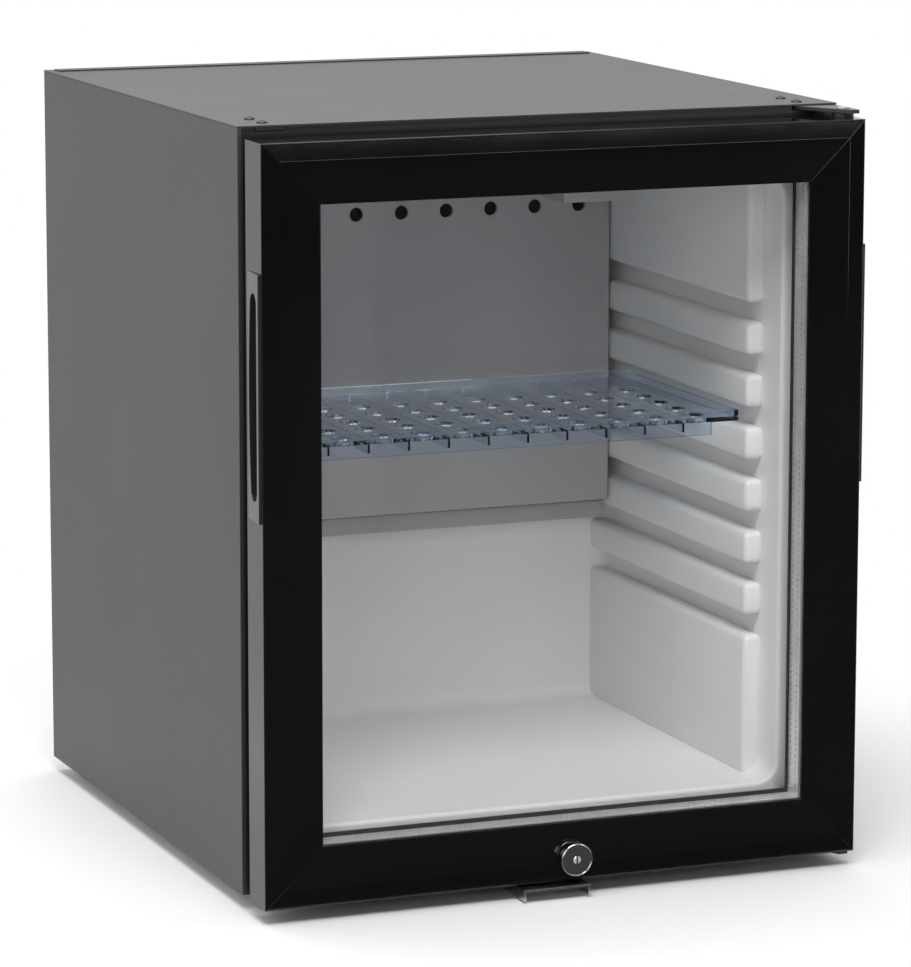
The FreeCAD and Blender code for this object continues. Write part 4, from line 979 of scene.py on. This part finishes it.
cap_radius = jacket_radius + cap_stand
rings = [jacket_ring(cap_bore, cap_radius, jacket_high.z - cap_skirt, jacket_high.z + cap_stand),
         jacket_ring(cap_bore, cap_radius, jacket_low.z - cap_stand, jacket_low.z + cap_skirt)]
rings += [jacket_ring(jacket_radius - strap_bed, jacket_radius + strap_stand, height - strap_half,
                      height + strap_half)
          for height in (jacket_low.z + strap_inset, jacket_high.z - strap_inset)]
seam_low = Vector((jacket.x - seam_half, jacket_high.y - seam_bed, jacket_low.z + cap_skirt))
seam_high = Vector((jacket.x + seam_half, jacket_high.y + seam_stand, jacket_high.z - cap_skirt))
seam = rounded_block(seam_low, seam_high, seam_round)
joined("jacket_trim", rings + [seam], rolled_zinc)

# Control box and mains inlet
# A moulded black case for the thermostat and terminals, closed by a lid at the rear.
# A round gland takes the mains lead.
coat(moulded_black, "control_box", "mains_inlet")
soften(0.002, "control_box")
soften(0.0008, "mains_inlet")
box_low, box_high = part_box("control_box")
lid_depth = 0.006
lid_over = 0.0006
lid_inner_over = lid_over * 0.5
lid_stand = 0.0004
lid_round = 0.0016
lid_low = Vector((box_low.x - lid_over, box_high.y - lid_depth, box_low.z - lid_over))
lid_high = Vector((box_high.x + lid_inner_over, box_high.y + lid_stand, box_high.z + lid_over))
lid = rounded_block(lid_low, lid_high, lid_round)
joined("control_lid", [lid], moulded_black)

# Studio
# A pale round floor that fades into a white surround, soft boxes in front and above, and one camera.
# The floor keeps the object's shadow.
floor_radius = 1.1
fade_start = 0.3
fade_end = 0.8
rim = [(floor_radius * math.cos(a), floor_radius * math.sin(a), 0)
       for a in map(math.radians, range(0, 360, 5))]


def direct_look(tree):
    """One for rays that see the studio straight, mirrored or through glass, and nought for others."""
    rays = tree.nodes.new("ShaderNodeLightPath")
    seen = rays.outputs["Is Camera Ray"]
    for kind in ("Is Glossy Ray", "Is Transmission Ray"):
        either = tree.nodes.new("ShaderNodeMath")
        either.operation = "MAXIMUM"
        tree.links.new(seen, either.inputs[0])
        tree.links.new(rays.outputs[kind], either.inputs[1])
        seen = either.outputs["Value"]
    return seen


pale_floor = finish("pale_floor", (0.6, 0.6, 0.6), (0.64, 0.64, 0.64),
                    patch=0.8, rough=(0.8, 0.9), grain=0.02, depth=0.0001)
floor = mesh_piece("floor", rim, [tuple(range(len(rim)))], pale_floor)
tree = pale_floor.node_tree
white = tree.nodes.new("ShaderNodeEmission")
place = tree.nodes.new("ShaderNodeTexCoord")
distance = tree.nodes.new("ShaderNodeVectorMath")
distance.operation = "LENGTH"
fade = tree.nodes.new("ShaderNodeMapRange")
fade.interpolation_type = "SMOOTHSTEP"
fade.inputs["From Min"].default_value = fade_start
fade.inputs["From Max"].default_value = fade_end
seen = tree.nodes.new("ShaderNodeMath")
seen.operation = "MULTIPLY"
blend = tree.nodes.new("ShaderNodeMixShader")
tree.links.new(place.outputs["Object"], distance.inputs[0])
tree.links.new(distance.outputs["Value"], fade.inputs["Value"])
tree.links.new(fade.outputs["Result"], seen.inputs[0])
tree.links.new(direct_look(tree), seen.inputs[1])
tree.links.new(seen.outputs["Value"], blend.inputs["Fac"])
tree.links.new(tree.nodes["Principled BSDF"].outputs["BSDF"], blend.inputs[1])
tree.links.new(white.outputs["Emission"], blend.inputs[2])
tree.links.new(blend.outputs["Shader"], tree.nodes["Material Output"].inputs["Surface"])
floor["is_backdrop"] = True

# A black cloth lies in front and hangs behind the photographer, as is done to keep a gloss front dark.
# Only reflections see it.
cloth_half = 4.5
cloth_line = [(-0.245, 0.0008), (-3.3, 0.0008), (-3.36, 0.02), (-3.4, 0.1), (-3.4, 3.2)]
verts = [(side * cloth_half, y, z) for y, z in cloth_line for side in (-1, 1)]
faces = [(2 * i, 2 * i + 1, 2 * i + 3, 2 * i + 2) for i in range(len(cloth_line) - 1)]
cloth_black = finish("black_cloth", (0.01, 0.01, 0.01), (0.015, 0.015, 0.015),
                     patch=0.2, rough=(0.9, 0.95), grain=0.002, depth=0.0001)
cloth = mesh_piece("black_cloth", verts, faces, cloth_black)
cloth.visible_camera = False
cloth.visible_diffuse = False
cloth.visible_transmission = False
cloth.visible_shadow = False
cloth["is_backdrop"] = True

# The surround is white to look at. Its light is bright behind and beside the object, and faint in front.
world = bpy.data.worlds.new("studio")
bpy.context.scene.world = world
world.use_nodes = True
tree = world.node_tree
background = tree.nodes["Background"]
background.inputs["Color"].default_value = (1, 1, 1, 1)
place = tree.nodes.new("ShaderNodeTexCoord")
split = tree.nodes.new("ShaderNodeSeparateXYZ")
shade = tree.nodes.new("ShaderNodeMapRange")
shade.interpolation_type = "SMOOTHSTEP"
shade.inputs["From Min"].default_value = -0.7
shade.inputs["From Max"].default_value = 0.2
shade.inputs["To Min"].default_value = 0.02
shade.inputs["To Max"].default_value = 1.2
below = tree.nodes.new("ShaderNodeMapRange")
below.inputs["From Min"].default_value = -0.2
below.inputs["From Max"].default_value = 0.1
below.inputs["To Min"].default_value = 0.85
both = tree.nodes.new("ShaderNodeMath")
both.operation = "MULTIPLY"
strength = tree.nodes.new("ShaderNodeMix")
strength.inputs["B"].default_value = 1
tree.links.new(place.outputs["Generated"], split.inputs["Vector"])
tree.links.new(split.outputs["Y"], shade.inputs["Value"])
tree.links.new(split.outputs["Z"], below.inputs["Value"])
tree.links.new(shade.outputs["Result"], both.inputs[0])
tree.links.new(below.outputs["Result"], both.inputs[1])
tree.links.new(both.outputs["Value"], strength.inputs["A"])
tree.links.new(direct_look(tree), strength.inputs["Factor"])
tree.links.new(strength.outputs["Result"], background.inputs["Strength"])


def soft_box(name, place, aim, width, height, watts):
    """A rectangular lamp that faces a point and isn't seen itself."""
    lamp = bpy.data.lights.new(name, "AREA")
    lamp.shape = "RECTANGLE"
    lamp.size = width
    lamp.size_y = height
    lamp.energy = watts
    box = bpy.data.objects.new(name, lamp)
    box.location = place
    box.rotation_euler = (Vector(aim) - Vector(place)).to_track_quat("-Z", "Y").to_euler()
    box.visible_camera = False
    bpy.context.collection.objects.link(box)


soft_box("front_box", (-0.5, -1.6, 2.6), (0, 0, 0.2), width=1.6, height=1.2, watts=70)
soft_box("fill_box", (-1.4, -2.9, 1.0), (0, 0, 0.25), width=1.5, height=1.2, watts=18)
soft_box("upright_strip", (1.74, -2.68, 0.35), (0, 0, 0.25), width=0.1, height=1.4, watts=5)
soft_box("level_strip", (1.2, -2.9, 0.66), (0, 0, 0.3), width=1.2, height=0.06, watts=4)
soft_box("left_box", (-2.3, -0.6, 1.2), (0, 0, 0.25), width=1.6, height=1.6, watts=12)
soft_box("top_box", (-0.2, 0.3, 2.4), (0, 0, 0.5), width=1.8, height=1.8, watts=32)

# The camera stands where the photographer stood, worked out from the corners of the cabinet and door.
yaw = math.radians(-21.886)
pitch = math.radians(10.249)
roll = math.radians(0.072)
lens_pixels = 4733.6
image_height = 967
camera_place = (-1.1902, -2.9906, 0.8192)
right = Vector((math.cos(yaw), math.sin(yaw), 0))
back = Vector((math.sin(yaw) * math.cos(pitch), -math.cos(yaw) * math.cos(pitch), math.sin(pitch)))
up = back.cross(right)
camera_data = bpy.data.cameras.new("camera")
camera_data.sensor_width = 36
camera_data.lens = camera_data.sensor_width * lens_pixels / image_height
camera_data.clip_end = 60
camera = bpy.data.objects.new("camera", camera_data)
bpy.context.collection.objects.link(camera)
turn = Matrix((right, up, back)).transposed().to_4x4()
camera.matrix_world = Matrix.Translation(camera_place) @ turn @ Matrix.Rotation(roll, 4, "Z")
bpy.context.scene.camera = camera
bpy.context.scene.view_settings.view_transform = "Standard"

low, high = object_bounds()
